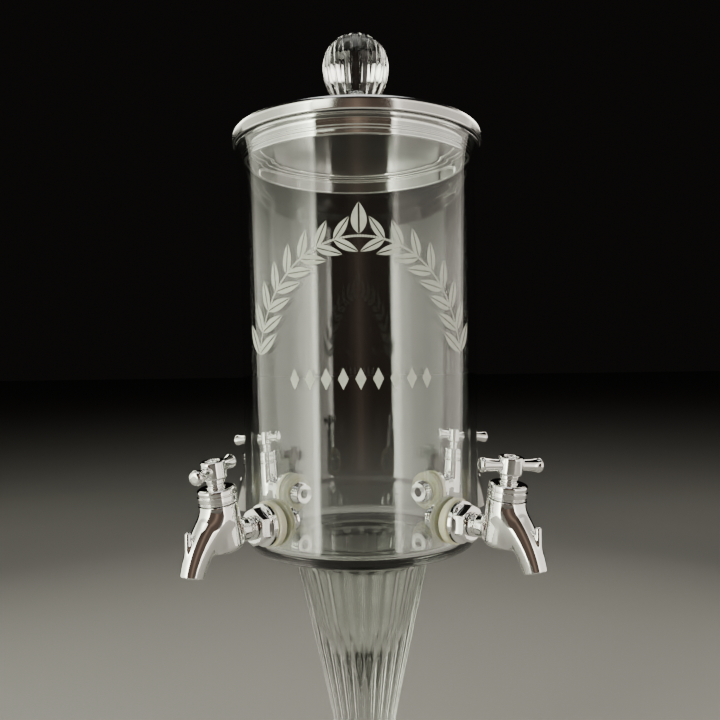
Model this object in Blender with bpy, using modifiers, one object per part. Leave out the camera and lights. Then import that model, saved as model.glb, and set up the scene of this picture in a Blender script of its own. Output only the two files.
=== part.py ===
# Absinthe fountain: a footed glass reservoir with four drip taps and a lift-off metal lid.
# Metres, +Z up. The origin is on the fountain's axis, on the surface that it stands on.
# A tap is drawn once in its own frame and set down four times. In that frame +X points
# away from the fountain, and the origin is where the barrel's axis meets the shank's axis.

import math

import bmesh
import bpy
from mathutils import Matrix, Vector

# Fits
FIT_GAP = 0.0003
TURN_GAP = 0.0003
HOLE_PLAY = 0.0006
CUT_MARGIN = 0.0010

# Pedestal: foot, waist and fluted cone are one moulding
PEDESTAL_HEIGHT = 0.2047
FOOT_RADIUS = 0.072
FOOT_EDGE_HEIGHT = 0.0055
FOOT_EDGE_ROUND = 0.0015
FOOT_SHOULDER = 0.0020
FOOT_RIM_WIDTH = 0.010
FOOT_DISH_DEPTH = 0.0035
WAIST_RADIUS = 0.0140
WAIST_HEIGHT = 0.082
CONE_TOP_RADIUS = 0.0397
PLAIN_BAND_HEIGHT = 0.0055
FLUTE_COUNT = 24
FLUTE_DEPTH = 0.0013
FLUTE_FADE = 0.030
FLUTE_RUNOUT = 0.003
CONE_WALL = 0.0055
CONE_HOLLOW_DEPTH = 0.082
HOLLOW_MOUTH_DEPTH = 0.002
HOLLOW_TOE = 0.008

# Reservoir
BODY_RADIUS = 0.065
BODY_WALL = 0.0035
FLOOR_THICKNESS = 0.0055
RESERVOIR_HEIGHT = 0.2190
HEEL_RADIUS = 0.009
LIP_FLARE = 0.0032
FLARE_HEIGHT = 0.018
LIP_WALL = 0.0032

# Lid
BAND_OVERHANG = 0.0003
BAND_HEIGHT = 0.0072
DOME_RISE = 0.0050
CAP_WALL = 0.0012
BAND_WALL = 0.0015
BAND_SHOULDER = 0.0013
BAND_EDGE = 0.0005
BAND_STRAIGHT = (0.25, 0.62)
CAP_CORNER = 0.0006
CROWN_RADIUS = 0.0165
LINER_THICKNESS = 0.0010
COLLAR_PLAY = 0.0011
COLLAR_DEPTH = 0.0097
COLLAR_WALL = 0.0018
COLLAR_STEP = 0.0004
COLLAR_STEP_DEPTH = 0.0050
COLLAR_ROLL_HEIGHT = 0.0021
COLLAR_GROOVE = 0.0006

# Knob
KNOB_RADIUS = 0.0183
KNOB_UPPER_LENGTH = 0.0172
KNOB_LOWER_LENGTH = 0.0253
KNOB_NECK_DROP = 0.0204
KNOB_RIB_COUNT = 18
KNOB_RIB_DEPTH = 0.0006
KNOB_STUB_RADIUS = 0.0086
KNOB_STUB_LENGTH = 0.0048
FERRULE_HEIGHT = 0.0138
FERRULE_BASE_RADIUS = 0.0150
FERRULE_WAIST_RADIUS = 0.0112
FERRULE_TOP_RADIUS = 0.0125
FERRULE_LIP = 0.0012
FERRULE_WAIST_DROP = 0.0065
FERRULE_FLARE_HEIGHT = 0.0032
FERRULE_FOOT = 0.0012
FERRULE_EDGE = 0.0008
STUD_RADIUS = 0.0030
STUD_BITE = 0.012
STUD_TIP = 0.0012
KNOB_NUT_WIDTH = 0.0100
KNOB_NUT_HEIGHT = 0.0040
KNOB_WASHER_RADIUS = 0.0070
KNOB_WASHER_THICKNESS = 0.0010

# Taps
TAP_COUNT = 4
FIRST_TAP_ANGLE = 225.0
SHANK_ABOVE_BASE = 0.021
BARREL_LEAN = 8.0
BARREL_RADIUS = 0.0093
BARREL_TOP = 0.0152
BARREL_BOTTOM = 0.0076
BARREL_FLOOR = 0.0036
BARREL_ROUNDING = 0.0028
PLUG_RADIUS = 0.0060
PLUG_TOP = 0.0119
PLUG_PORT_RADIUS = 0.0024
WATERWAY_RADIUS = 0.0027
SPINDLE_RADIUS = 0.0044
SPINDLE_STUB_RADIUS = 0.0030
BONNET_RADIUS = 0.00935
BONNET_HEIGHT = 0.0074
BONNET_SPIGOT = 0.0014
BONNET_ROUND_IN = 0.0018
BONNET_ROUND_DOWN = 0.0014
SEAL_THICKNESS = 0.0013
HUB_RADIUS = 0.0059
HUB_BOTTOM = 0.0273
HUB_HEIGHT = 0.0083
HUB_EDGE = 0.0006
HUB_TAPER = 0.0002
HUB_WEB = 0.0012
BAR_HALF_LENGTH = 0.0164
BAR_ROOT_RADIUS = 0.0026
BAR_END_RADIUS = 0.0036
BAR_END_LENGTH = 0.0040
BAR_CAP_LENGTH = 0.0018
HANDLE_CLOCKING = (24.0, 62.0, -22.0, 11.0)
SCREW_RADIUS = 0.0015
SCREW_HEAD_RADIUS = 0.0032
SCREW_HEAD_HEIGHT = 0.0014
SCREW_LENGTH = 0.0052
SCREW_CROWN = 0.0001
SCREW_RUNOUT = 0.0014
SPOUT_REACH = 0.0171
SPOUT_DROP = 0.0172
SPOUT_SPRING = 0.0085
SPOUT_ROOT_RADIUS = 0.0086
SPOUT_MOUTH_RADIUS = 0.0058
MOUTH_BORE_RADIUS = 0.0039
MOUTH_BORE_DEPTH = 0.0024
LUG_OFFSET = 0.0188
LUG_TOP = 0.0040
LUG_HEIGHT = 0.0125
LUG_RADIUS = 0.0014
NECK_LENGTH = 0.0081
NECK_ROOT_RADIUS = 0.0078
NECK_RADIUS = 0.0059
NECK_GROOVE_RADIUS = 0.0047
NECK_GROOVE_WIDTH = 0.0008
NECK_COLLAR_RADIUS = 0.0062
NECK_COLLAR_LENGTH = 0.0020
TAIL_RADIUS = 0.0042
TAIL_LENGTH = 0.0050
FLANGE_RADIUS = 0.0107
FLANGE_THICKNESS = 0.0030
HEX_WIDTH = 0.0166
HEX_LENGTH = 0.0056
THREAD_RADIUS = 0.0065
THREAD_DEPTH = 0.0006
THREAD_RIDGES = 3
THREAD_SHOWING = 0.0058
OUTER_WASHER_RADIUS = 0.0117
OUTER_WASHER_THICKNESS = 0.0026
INNER_WASHER_THICKNESS = 0.0018
LOCK_NUT_RADIUS = 0.0117
LOCK_NUT_THICKNESS = 0.0030

# Facets round a turned piece
GLASS_SIDES = 40
LID_SIDES = 32
TAP_SIDES = 16
RING_SIDES = 12
BAR_SIDES = 10
SMALL_SIDES = 8
POINTS_PER_FLUTE = 2
POINTS_PER_RIB = 2
FLARE_POWER = 1.3

# Heights that the pieces share
BASE_HEIGHT = PEDESTAL_HEIGHT + FIT_GAP
FLOOR_HEIGHT = BASE_HEIGHT + FLOOR_THICKNESS
LIP_HEIGHT = BASE_HEIGHT + RESERVOIR_HEIGHT
LINER_HEIGHT = LIP_HEIGHT + FIT_GAP
CROWN_HEIGHT = LIP_HEIGHT + BAND_HEIGHT + DOME_RISE
SHANK_HEIGHT = BASE_HEIGHT + SHANK_ABOVE_BASE
BODY_INNER_RADIUS = BODY_RADIUS - BODY_WALL
BAND_RADIUS = BODY_RADIUS + LIP_FLARE + BAND_OVERHANG
SHOULDER_RADIUS = BAND_RADIUS - BAND_SHOULDER

# Distances from the fountain's axis along a tap's shank
FLANGE_FACE = BODY_RADIUS + FIT_GAP + OUTER_WASHER_THICKNESS + FIT_GAP
HEX_FACE = FLANGE_FACE + FLANGE_THICKNESS + HEX_LENGTH
INNER_WASHER_FACE = BODY_INNER_RADIUS - FIT_GAP - INNER_WASHER_THICKNESS
LOCK_NUT_FACE = INNER_WASHER_FACE - FIT_GAP - LOCK_NUT_THICKNESS
TAP_REACH = HEX_FACE + NECK_LENGTH + BARREL_RADIUS

# Heights inside a tap's handle, along the barrel's axis
HUB_TOP = HUB_BOTTOM + HUB_HEIGHT
SCREW_SEAT = HUB_TOP - SCREW_HEAD_HEIGHT
WEB_TOP = SCREW_SEAT - FIT_GAP
WEB_BOTTOM = WEB_TOP - HUB_WEB

PARTS = "absinthe_fountain"
CUTTERS = "absinthe_fountain_cutters"


def clear_scene():
    for item in list(bpy.data.objects):
        bpy.data.objects.remove(item, do_unlink=True)


def collection(name):
    group = bpy.data.collections.get(name)
    if group is None:
        group = bpy.data.collections.new(name)
        bpy.context.scene.collection.children.link(group)
    return group


def material(name, colour, roughness, metallic, transmission=0.0, ior=1.5):
    made = bpy.data.materials.new(name)
    made.use_nodes = True
    shader = made.node_tree.nodes["Principled BSDF"]
    shader.inputs["Base Color"].default_value = (*colour, 1.0)
    shader.inputs["Roughness"].default_value = roughness
    shader.inputs["Metallic"].default_value = metallic
    shader.inputs["Transmission Weight"].default_value = transmission
    shader.inputs["IOR"].default_value = ior
    made.diffuse_color = (*colour, 1.0)
    return made


def new_object(name, mesh, group=PARTS):
    made = bpy.data.objects.new(name, mesh)
    collection(group).objects.link(made)
    return made


def smooth(mesh, angle=35.0):
    mesh.shade_smooth()
    mesh.set_sharp_from_angle(angle=math.radians(angle))


def set_as_cutter(item):
    item.hide_render = True
    item.display_type = "WIRE"


def arc(centre, radius, start, end, steps):
    """Points (r, z) on an arc, from one angle to the other in degrees."""
    points = []
    for step in range(steps + 1):
        angle = math.radians(start + (end - start) * step / steps)
        points.append((centre[0] + radius * math.cos(angle), centre[1] + radius * math.sin(angle)))
    return points


def turned(name, profile, sides, closed=False, group=PARTS):
    """A profile of (r, z) points, listed down its outer side, turned round Z."""
    mesh = bpy.data.meshes.new(name)
    edges = [(i, i + 1) for i in range(len(profile) - 1)]
    if closed:
        edges.append((len(profile) - 1, 0))
    mesh.from_pydata([(r, 0.0, z) for r, z in profile], edges, [])
    made = new_object(name, mesh, group)
    screw = made.modifiers.new("Turn", "SCREW")
    screw.steps = sides
    screw.render_steps = sides
    screw.use_merge_vertices = True
    screw.merge_threshold = 0.00001
    return made


def prism(name, width, height, group=PARTS):
    """A six-sided bar along Z, given its width across flats, standing on z = 0."""
    mesh = bpy.data.meshes.new(name)
    shape = bmesh.new()
    corner = width / math.sqrt(3.0)
    bmesh.ops.create_cone(shape, cap_ends=True, segments=6, radius1=corner, radius2=corner,
                          depth=height, matrix=Matrix.Translation((0.0, 0.0, height / 2.0)))
    shape.to_mesh(mesh)
    shape.free()
    return new_object(name, mesh, group)


def rod(name, radius, start, end, sides, group=PARTS):
    """A straight round bar from one point to another."""
    start = Vector(start)
    end = Vector(end)
    mesh = bpy.data.meshes.new(name)
    shape = bmesh.new()
    turn = (end - start).to_track_quat("Z", "Y").to_matrix().to_4x4()
    bmesh.ops.create_cone(shape, cap_ends=True, segments=sides, radius1=radius, radius2=radius,
                          depth=(end - start).length,
                          matrix=Matrix.Translation((start + end) / 2.0) @ turn)
    shape.to_mesh(mesh)
    shape.free()
    return new_object(name, mesh, group)


def tube(name, route, radius, widths, sides_quarter):
    """A filled tube along a route in the XZ plane, as a welded mesh."""
    curve = bpy.data.curves.new(name, "CURVE")
    curve.dimensions = "3D"
    curve.bevel_depth = radius
    curve.bevel_resolution = sides_quarter
    curve.use_fill_caps = True
    spline = curve.splines.new("POLY")
    spline.points.add(len(route) - 1)
    for point, (x, z), width in zip(spline.points, route, widths):
        point.co = (x, 0.0, z, 1.0)
        point.radius = width
    item = new_object(name, curve)
    mesh = baked(item)
    shape = bmesh.new()
    shape.from_mesh(mesh)
    bmesh.ops.remove_doubles(shape, verts=shape.verts, dist=0.000001)
    bmesh.ops.recalc_face_normals(shape, faces=shape.faces)
    shape.to_mesh(mesh)
    shape.free()
    return new_object(name, mesh)


def baked(item):
    """The item's evaluated mesh, in world space. The item itself is removed."""
    bpy.context.view_layer.update()
    graph = bpy.context.evaluated_depsgraph_get()
    mesh = bpy.data.meshes.new_from_object(item.evaluated_get(graph))
    mesh.transform(item.matrix_world)
    bpy.data.objects.remove(item, do_unlink=True)
    return mesh


def boolean(item, other, operation):
    modifier = item.modifiers.new(operation.title(), "BOOLEAN")
    modifier.operation = operation
    modifier.object = other
    modifier.solver = "EXACT"


def combined(name, base, added=(), cut=()):
    """One mesh: the base joined with some shapes, then cut by others."""
    for other in added:
        boolean(base, other, "UNION")
    for other in cut:
        boolean(base, other, "DIFFERENCE")
    mesh = baked(base)
    mesh.name = name
    for other in (*added, *cut):
        bpy.data.objects.remove(other, do_unlink=True)
    return mesh


def lofted(name, rings):
    """A closed skin over rings of points, listed from bottom to top, all of one count."""
    mesh = bpy.data.meshes.new(name)
    shape = bmesh.new()
    rows = [[shape.verts.new(point) for point in ring] for ring in rings]
    count = len(rows[0])
    for lower, upper in zip(rows, rows[1:]):
        for i in range(count):
            j = (i + 1) % count
            shape.faces.new((lower[i], lower[j], upper[j], upper[i]))
    shape.faces.new(list(reversed(rows[0])))
    shape.faces.new(rows[-1])
    bmesh.ops.recalc_face_normals(shape, faces=shape.faces)
    shape.to_mesh(mesh)
    shape.free()
    return mesh


def scalloped_ring(radius, height, count, points_each, depth):
    """A ring with hollow scallops between ridges; depth is how far each one dips."""
    ring = []
    for i in range(count * points_each):
        across = 2.0 * (i % points_each) / points_each - 1.0
        dip = depth * (1.0 - across * across)
        angle = 2.0 * math.pi * i / (count * points_each)
        ring.append(((radius - dip) * math.cos(angle), (radius - dip) * math.sin(angle), height))
    return ring


def ease(value):
    value = min(max(value, 0.0), 1.0)
    return value * value * (3.0 - 2.0 * value)


def round_x(item):
    """Lays an item that was turned round Z along X, its top end pointing outwards."""
    item.matrix_world = Matrix.Rotation(math.radians(90.0), 4, "Y")
    return item


def leaned(item):
    """Leans an item with the barrel's axis."""
    item.matrix_world = Matrix.Rotation(math.radians(BARREL_LEAN), 4, "Y") @ item.matrix_world
    return item


def cone_radius(height):
    """The stem's outer radius above the waist: a straight cone that eases into the waist."""
    rise = (height - WAIST_HEIGHT) / (PEDESTAL_HEIGHT - WAIST_HEIGHT)
    return WAIST_RADIUS + (CONE_TOP_RADIUS - WAIST_RADIUS) * (rise ** 1.12)


def make_pedestal(glass):
    flute_top = PEDESTAL_HEIGHT - PLAIN_BAND_HEIGHT
    rings = []
    foot_bottom = FOOT_RADIUS - FOOT_EDGE_ROUND
    rings.append(scalloped_ring(foot_bottom, 0.0, FLUTE_COUNT, POINTS_PER_FLUTE, 0.0))
    for height in (FOOT_EDGE_ROUND, FOOT_EDGE_HEIGHT - FOOT_EDGE_ROUND):
        rings.append(scalloped_ring(FOOT_RADIUS, height, FLUTE_COUNT, POINTS_PER_FLUTE, 0.0))
    foot_steps = 5
    for step in range(foot_steps):
        part = step / foot_steps
        height = FOOT_EDGE_HEIGHT + (WAIST_HEIGHT - FOOT_EDGE_HEIGHT) * part ** 2.4
        radius = WAIST_RADIUS + (FOOT_RADIUS - FOOT_SHOULDER - WAIST_RADIUS) * (1.0 - part) ** 1.25
        rings.append(scalloped_ring(radius, height, FLUTE_COUNT, POINTS_PER_FLUTE, 0.0))
    cone_steps = 4
    for step in range(cone_steps + 1):
        height = WAIST_HEIGHT + (flute_top - FLUTE_RUNOUT - WAIST_HEIGHT) * step / cone_steps
        radius = cone_radius(height)
        depth = FLUTE_DEPTH * ease((height - WAIST_HEIGHT) / FLUTE_FADE) * radius / CONE_TOP_RADIUS
        rings.append(scalloped_ring(radius, height, FLUTE_COUNT, POINTS_PER_FLUTE, depth))
    rings.append(scalloped_ring(cone_radius(flute_top), flute_top, FLUTE_COUNT, POINTS_PER_FLUTE, 0.0))
    rings.append(scalloped_ring(CONE_TOP_RADIUS, PEDESTAL_HEIGHT, FLUTE_COUNT, POINTS_PER_FLUTE, 0.0))
    mesh = lofted("pedestal", rings)
    mesh.materials.append(glass)
    smooth(mesh)
    pedestal = new_object("pedestal", mesh)

    hollow_bottom = PEDESTAL_HEIGHT - CONE_HOLLOW_DEPTH
    mouth_radius = CONE_TOP_RADIUS - CONE_WALL
    mouth_bottom = PEDESTAL_HEIGHT - HOLLOW_MOUTH_DEPTH
    hollow = [(0.0, PEDESTAL_HEIGHT + CUT_MARGIN), (mouth_radius, PEDESTAL_HEIGHT + CUT_MARGIN),
              (mouth_radius, mouth_bottom)]
    hollow_steps = 3
    for step in range(1, hollow_steps + 1):
        height = mouth_bottom - (mouth_bottom - HOLLOW_TOE - hollow_bottom) * step / hollow_steps
        hollow.append((cone_radius(height) - CONE_WALL - FLUTE_DEPTH, height))
    hollow.append((0.0, hollow_bottom))
    cutter = turned("stem_hollow", hollow, GLASS_SIDES, group=CUTTERS)
    set_as_cutter(cutter)
    boolean(pedestal, cutter, "DIFFERENCE")

    dish_radius = FOOT_RADIUS - FOOT_RIM_WIDTH
    dish = [(0.0, FOOT_DISH_DEPTH), (dish_radius * 0.6, FOOT_DISH_DEPTH * 0.8),
            (dish_radius, 0.0), (dish_radius, -CUT_MARGIN), (0.0, -CUT_MARGIN)]
    cutter = turned("foot_dish", dish, GLASS_SIDES, group=CUTTERS)
    set_as_cutter(cutter)
    boolean(pedestal, cutter, "DIFFERENCE")


def flare_offset(height):
    """How far the reservoir's wall leans out at a height, growing towards the lip."""
    rise = (height - (LIP_HEIGHT - FLARE_HEIGHT)) / FLARE_HEIGHT
    return LIP_FLARE * max(rise, 0.0) ** FLARE_POWER


def mouth_inner_radius(height):
    """The mouth's inner radius at a height: the wall thins a little towards the lip."""
    rise = max((height - (LIP_HEIGHT - FLARE_HEIGHT)) / FLARE_HEIGHT, 0.0)
    return BODY_INNER_RADIUS + flare_offset(height) + (BODY_WALL - LIP_WALL) * min(rise, 1.0)


def make_reservoir(glass):
    inner_heel = HEEL_RADIUS - BODY_WALL
    half_lip = LIP_WALL / 2.0
    flare_steps = 3
    flare = [LIP_HEIGHT - FLARE_HEIGHT + (FLARE_HEIGHT - half_lip) * step / flare_steps
             for step in range(flare_steps + 1)]
    profile = [(0.0, FLOOR_HEIGHT)]
    inner_centre = (BODY_INNER_RADIUS - inner_heel, FLOOR_HEIGHT + inner_heel)
    profile += arc(inner_centre, inner_heel, -90.0, 0.0, 3)
    profile += [(mouth_inner_radius(height), height) for height in flare]
    lip_inner = profile[-1][0]
    lip_outer = BODY_RADIUS + flare_offset(flare[-1])
    lip_centre = ((lip_inner + lip_outer) / 2.0, flare[-1])
    profile += arc(lip_centre, (lip_outer - lip_inner) / 2.0, 120.0, 60.0, 1)
    profile += [(BODY_RADIUS + flare_offset(height), height) for height in reversed(flare)]
    profile += arc((BODY_RADIUS - HEEL_RADIUS, BASE_HEIGHT + HEEL_RADIUS), HEEL_RADIUS, 0.0, -90.0, 3)
    profile += [(0.0, BASE_HEIGHT)]
    reservoir = turned("reservoir", profile, GLASS_SIDES)
    reservoir.data.materials.append(glass)
    smooth(reservoir.data)
    for index in range(TAP_COUNT):
        angle = math.radians(FIRST_TAP_ANGLE + 360.0 * index / TAP_COUNT)
        outward = Vector((math.cos(angle), math.sin(angle), 0.0))
        height = Vector((0.0, 0.0, SHANK_HEIGHT))
        cutter = rod(f"tap_hole_{index + 1}", THREAD_RADIUS + HOLE_PLAY,
                     outward * (BODY_INNER_RADIUS - THREAD_RADIUS) + height,
                     outward * (BODY_RADIUS + THREAD_RADIUS) + height, TAP_SIDES, group=CUTTERS)
        set_as_cutter(cutter)
        boolean(reservoir, cutter, "DIFFERENCE")


def dome_height(radius):
    """The cap's outer height over the band, from the band's shoulder up to the flat crown."""
    inward = (SHOULDER_RADIUS - radius) / (SHOULDER_RADIUS - CROWN_RADIUS)
    return LIP_HEIGHT + BAND_HEIGHT + DOME_RISE * math.sin(math.radians(90.0) * inward)


def make_lid(chrome, lid_frame):
    dome_steps = 3
    dome_width = SHOULDER_RADIUS - CROWN_RADIUS
    radii = [CROWN_RADIUS + dome_width * step / dome_steps for step in range(dome_steps + 1)]
    bore = STUD_RADIUS + FIT_GAP
    outer = [(bore, CROWN_HEIGHT)]
    outer += [(radius, dome_height(radius)) for radius in radii]
    outer += [(BAND_RADIUS, LIP_HEIGHT + BAND_HEIGHT * share) for share in reversed(BAND_STRAIGHT)]
    outer += [(BAND_RADIUS - BAND_EDGE, LINER_HEIGHT)]
    inner_band = BAND_RADIUS - BAND_WALL
    inner = [(inner_band, LINER_HEIGHT), (inner_band, LIP_HEIGHT + BAND_HEIGHT - CAP_WALL - CAP_CORNER)]
    inner += [(radius - CAP_CORNER, dome_height(radius) - CAP_WALL) for radius in reversed(radii[:-1])]
    inner += [(bore, CROWN_HEIGHT - CAP_WALL)]
    cap = turned("lid_cap", outer + inner, LID_SIDES, closed=True)
    cap.data.materials.append(chrome)
    smooth(cap.data)

    collar_bottom = LINER_HEIGHT - COLLAR_DEPTH
    step_height = LINER_HEIGHT - COLLAR_STEP_DEPTH
    roll_top = collar_bottom + COLLAR_ROLL_HEIGHT
    roll_radius = mouth_inner_radius(collar_bottom) - COLLAR_PLAY
    upper_radius = roll_radius + COLLAR_STEP
    collar_inner = roll_radius - COLLAR_WALL
    edge = COLLAR_WALL / 3.0
    rim_radius = inner_band - FIT_GAP
    profile = [(0.0, LINER_HEIGHT + LINER_THICKNESS), (rim_radius, LINER_HEIGHT + LINER_THICKNESS),
               (rim_radius, LINER_HEIGHT), (upper_radius, LINER_HEIGHT), (upper_radius, step_height),
               (roll_radius, step_height - COLLAR_STEP), (roll_radius, roll_top + 2.0 * COLLAR_GROOVE),
               (roll_radius - COLLAR_GROOVE, roll_top + COLLAR_GROOVE), (roll_radius, roll_top),
               (roll_radius, collar_bottom + edge), (roll_radius - edge, collar_bottom),
               (collar_inner + edge, collar_bottom), (collar_inner, collar_bottom + edge),
               (collar_inner, LINER_HEIGHT), (0.0, LINER_HEIGHT)]
    liner = turned("lid_liner", profile, LID_SIDES)
    liner.data.materials.append(chrome)
    smooth(liner.data)
    for piece in (cap, liner):
        place_on(piece, lid_frame)


def knob_skin_radius(drop):
    """The knob's outer radius at a distance below its widest ring: round above, longer below."""
    reach = KNOB_UPPER_LENGTH if drop < 0.0 else KNOB_LOWER_LENGTH
    return KNOB_RADIUS * math.sqrt(max(1.0 - (drop / reach) ** 2, 0.0))


def make_knob(knob_glass, chrome, steel, lid_frame):
    ferrule_base = CROWN_HEIGHT + FIT_GAP
    ferrule_top = ferrule_base + FERRULE_HEIGHT
    neck_height = ferrule_top + FIT_GAP
    centre = neck_height + KNOB_NECK_DROP
    stub_bottom = neck_height - KNOB_STUB_LENGTH
    stud_bore = STUD_RADIUS + FIT_GAP

    rings = [scalloped_ring(KNOB_STUB_RADIUS, stub_bottom, KNOB_RIB_COUNT, POINTS_PER_RIB, 0.0),
             scalloped_ring(KNOB_STUB_RADIUS, neck_height, KNOB_RIB_COUNT, POINTS_PER_RIB, 0.0)]
    start = -math.asin(KNOB_NECK_DROP / KNOB_LOWER_LENGTH)
    finish = math.radians(84.0)
    knob_steps = 10
    drops = []
    for step in range(knob_steps + 1):
        sine = math.sin(start + (finish - start) * step / knob_steps)
        drops.append(-KNOB_UPPER_LENGTH * sine if sine > 0.0 else -KNOB_LOWER_LENGTH * sine)
    for drop in drops:
        radius = knob_skin_radius(drop)
        depth = KNOB_RIB_DEPTH * radius / KNOB_RADIUS
        rings.append(scalloped_ring(radius, centre - drop, KNOB_RIB_COUNT, POINTS_PER_RIB, depth))
    mesh = lofted("knob", rings)
    mesh.materials.append(knob_glass)
    smooth(mesh, 20.0)
    knob = new_object("knob", mesh)
    cutter = rod("knob_stud_bore", stud_bore, (0.0, 0.0, stub_bottom - CUT_MARGIN),
                 (0.0, 0.0, stub_bottom + STUD_BITE), SMALL_SIDES, group=CUTTERS)
    set_as_cutter(cutter)
    boolean(knob, cutter, "DIFFERENCE")

    socket_radius = KNOB_STUB_RADIUS + FIT_GAP
    socket_floor = stub_bottom - FIT_GAP
    foot_top = ferrule_base + FERRULE_FOOT
    profile = [(socket_radius, ferrule_top), (FERRULE_TOP_RADIUS - FERRULE_EDGE, ferrule_top),
               (FERRULE_TOP_RADIUS, ferrule_top - FERRULE_LIP),
               (FERRULE_WAIST_RADIUS, ferrule_top - FERRULE_WAIST_DROP),
               (FERRULE_WAIST_RADIUS + FERRULE_EDGE, ferrule_base + FERRULE_FLARE_HEIGHT),
               (FERRULE_BASE_RADIUS - FERRULE_EDGE, foot_top + FERRULE_EDGE), (FERRULE_BASE_RADIUS, foot_top),
               (FERRULE_BASE_RADIUS, ferrule_base), (stud_bore, ferrule_base),
               (stud_bore, socket_floor), (socket_radius, socket_floor)]
    ferrule = turned("knob_ferrule", profile, KNOB_RIB_COUNT, closed=True)
    ferrule.data.materials.append(chrome)
    smooth(ferrule.data)

    washer_top = CROWN_HEIGHT - CAP_WALL - FIT_GAP
    washer_bottom = washer_top - KNOB_WASHER_THICKNESS
    profile = [(stud_bore, washer_top), (KNOB_WASHER_RADIUS, washer_top),
               (KNOB_WASHER_RADIUS, washer_bottom), (stud_bore, washer_bottom)]
    washer = turned("knob_washer", profile, TAP_SIDES, closed=True)
    washer.data.materials.append(steel)

    nut_top = washer_bottom - FIT_GAP
    nut = prism("knob_nut", KNOB_NUT_WIDTH, KNOB_NUT_HEIGHT)
    nut.location = (0.0, 0.0, nut_top - KNOB_NUT_HEIGHT)
    nut.data.materials.append(steel)
    cutter = rod("knob_nut_bore", stud_bore, (0.0, 0.0, nut_top - KNOB_NUT_HEIGHT - CUT_MARGIN),
                 (0.0, 0.0, nut_top + CUT_MARGIN), SMALL_SIDES, group=CUTTERS)
    set_as_cutter(cutter)
    boolean(nut, cutter, "DIFFERENCE")

    stud = rod("knob_stud", STUD_RADIUS, (0.0, 0.0, nut_top - KNOB_NUT_HEIGHT - STUD_TIP),
               (0.0, 0.0, stub_bottom + STUD_BITE - FIT_GAP), SMALL_SIDES)
    stud.data.materials.append(steel)
    smooth(stud.data)
    for piece in (knob, ferrule, washer, nut, stud):
        place_on(piece, lid_frame)


def place_on(item, parent):
    """Parents an item that is already drawn where it belongs, and leaves it there."""
    bpy.context.view_layer.update()
    item.parent = parent
    item.matrix_parent_inverse = parent.matrix_world.inverted()


def spout_point(along):
    """The spout's centre line in the XZ plane: a smooth bend from the barrel to the mouth."""
    start = Vector((0.12 * SPOUT_REACH, SPOUT_SPRING))
    leave = Vector((0.50 * SPOUT_REACH, 0.18 * SPOUT_SPRING))
    arrive = Vector((0.84 * SPOUT_REACH, -0.35 * SPOUT_DROP))
    mouth = Vector((SPOUT_REACH, -SPOUT_DROP))
    back = 1.0 - along
    return (back ** 3 * start + 3.0 * back ** 2 * along * leave
            + 3.0 * back * along ** 2 * arrive + along ** 3 * mouth)


def spout_width(along):
    """The spout's radius, as a share of its root radius: it narrows towards the mouth."""
    narrowing = (1.0 - along) ** 1.2
    return (SPOUT_MOUTH_RADIUS + (SPOUT_ROOT_RADIUS - SPOUT_MOUTH_RADIUS) * narrowing) / SPOUT_ROOT_RADIUS


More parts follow.
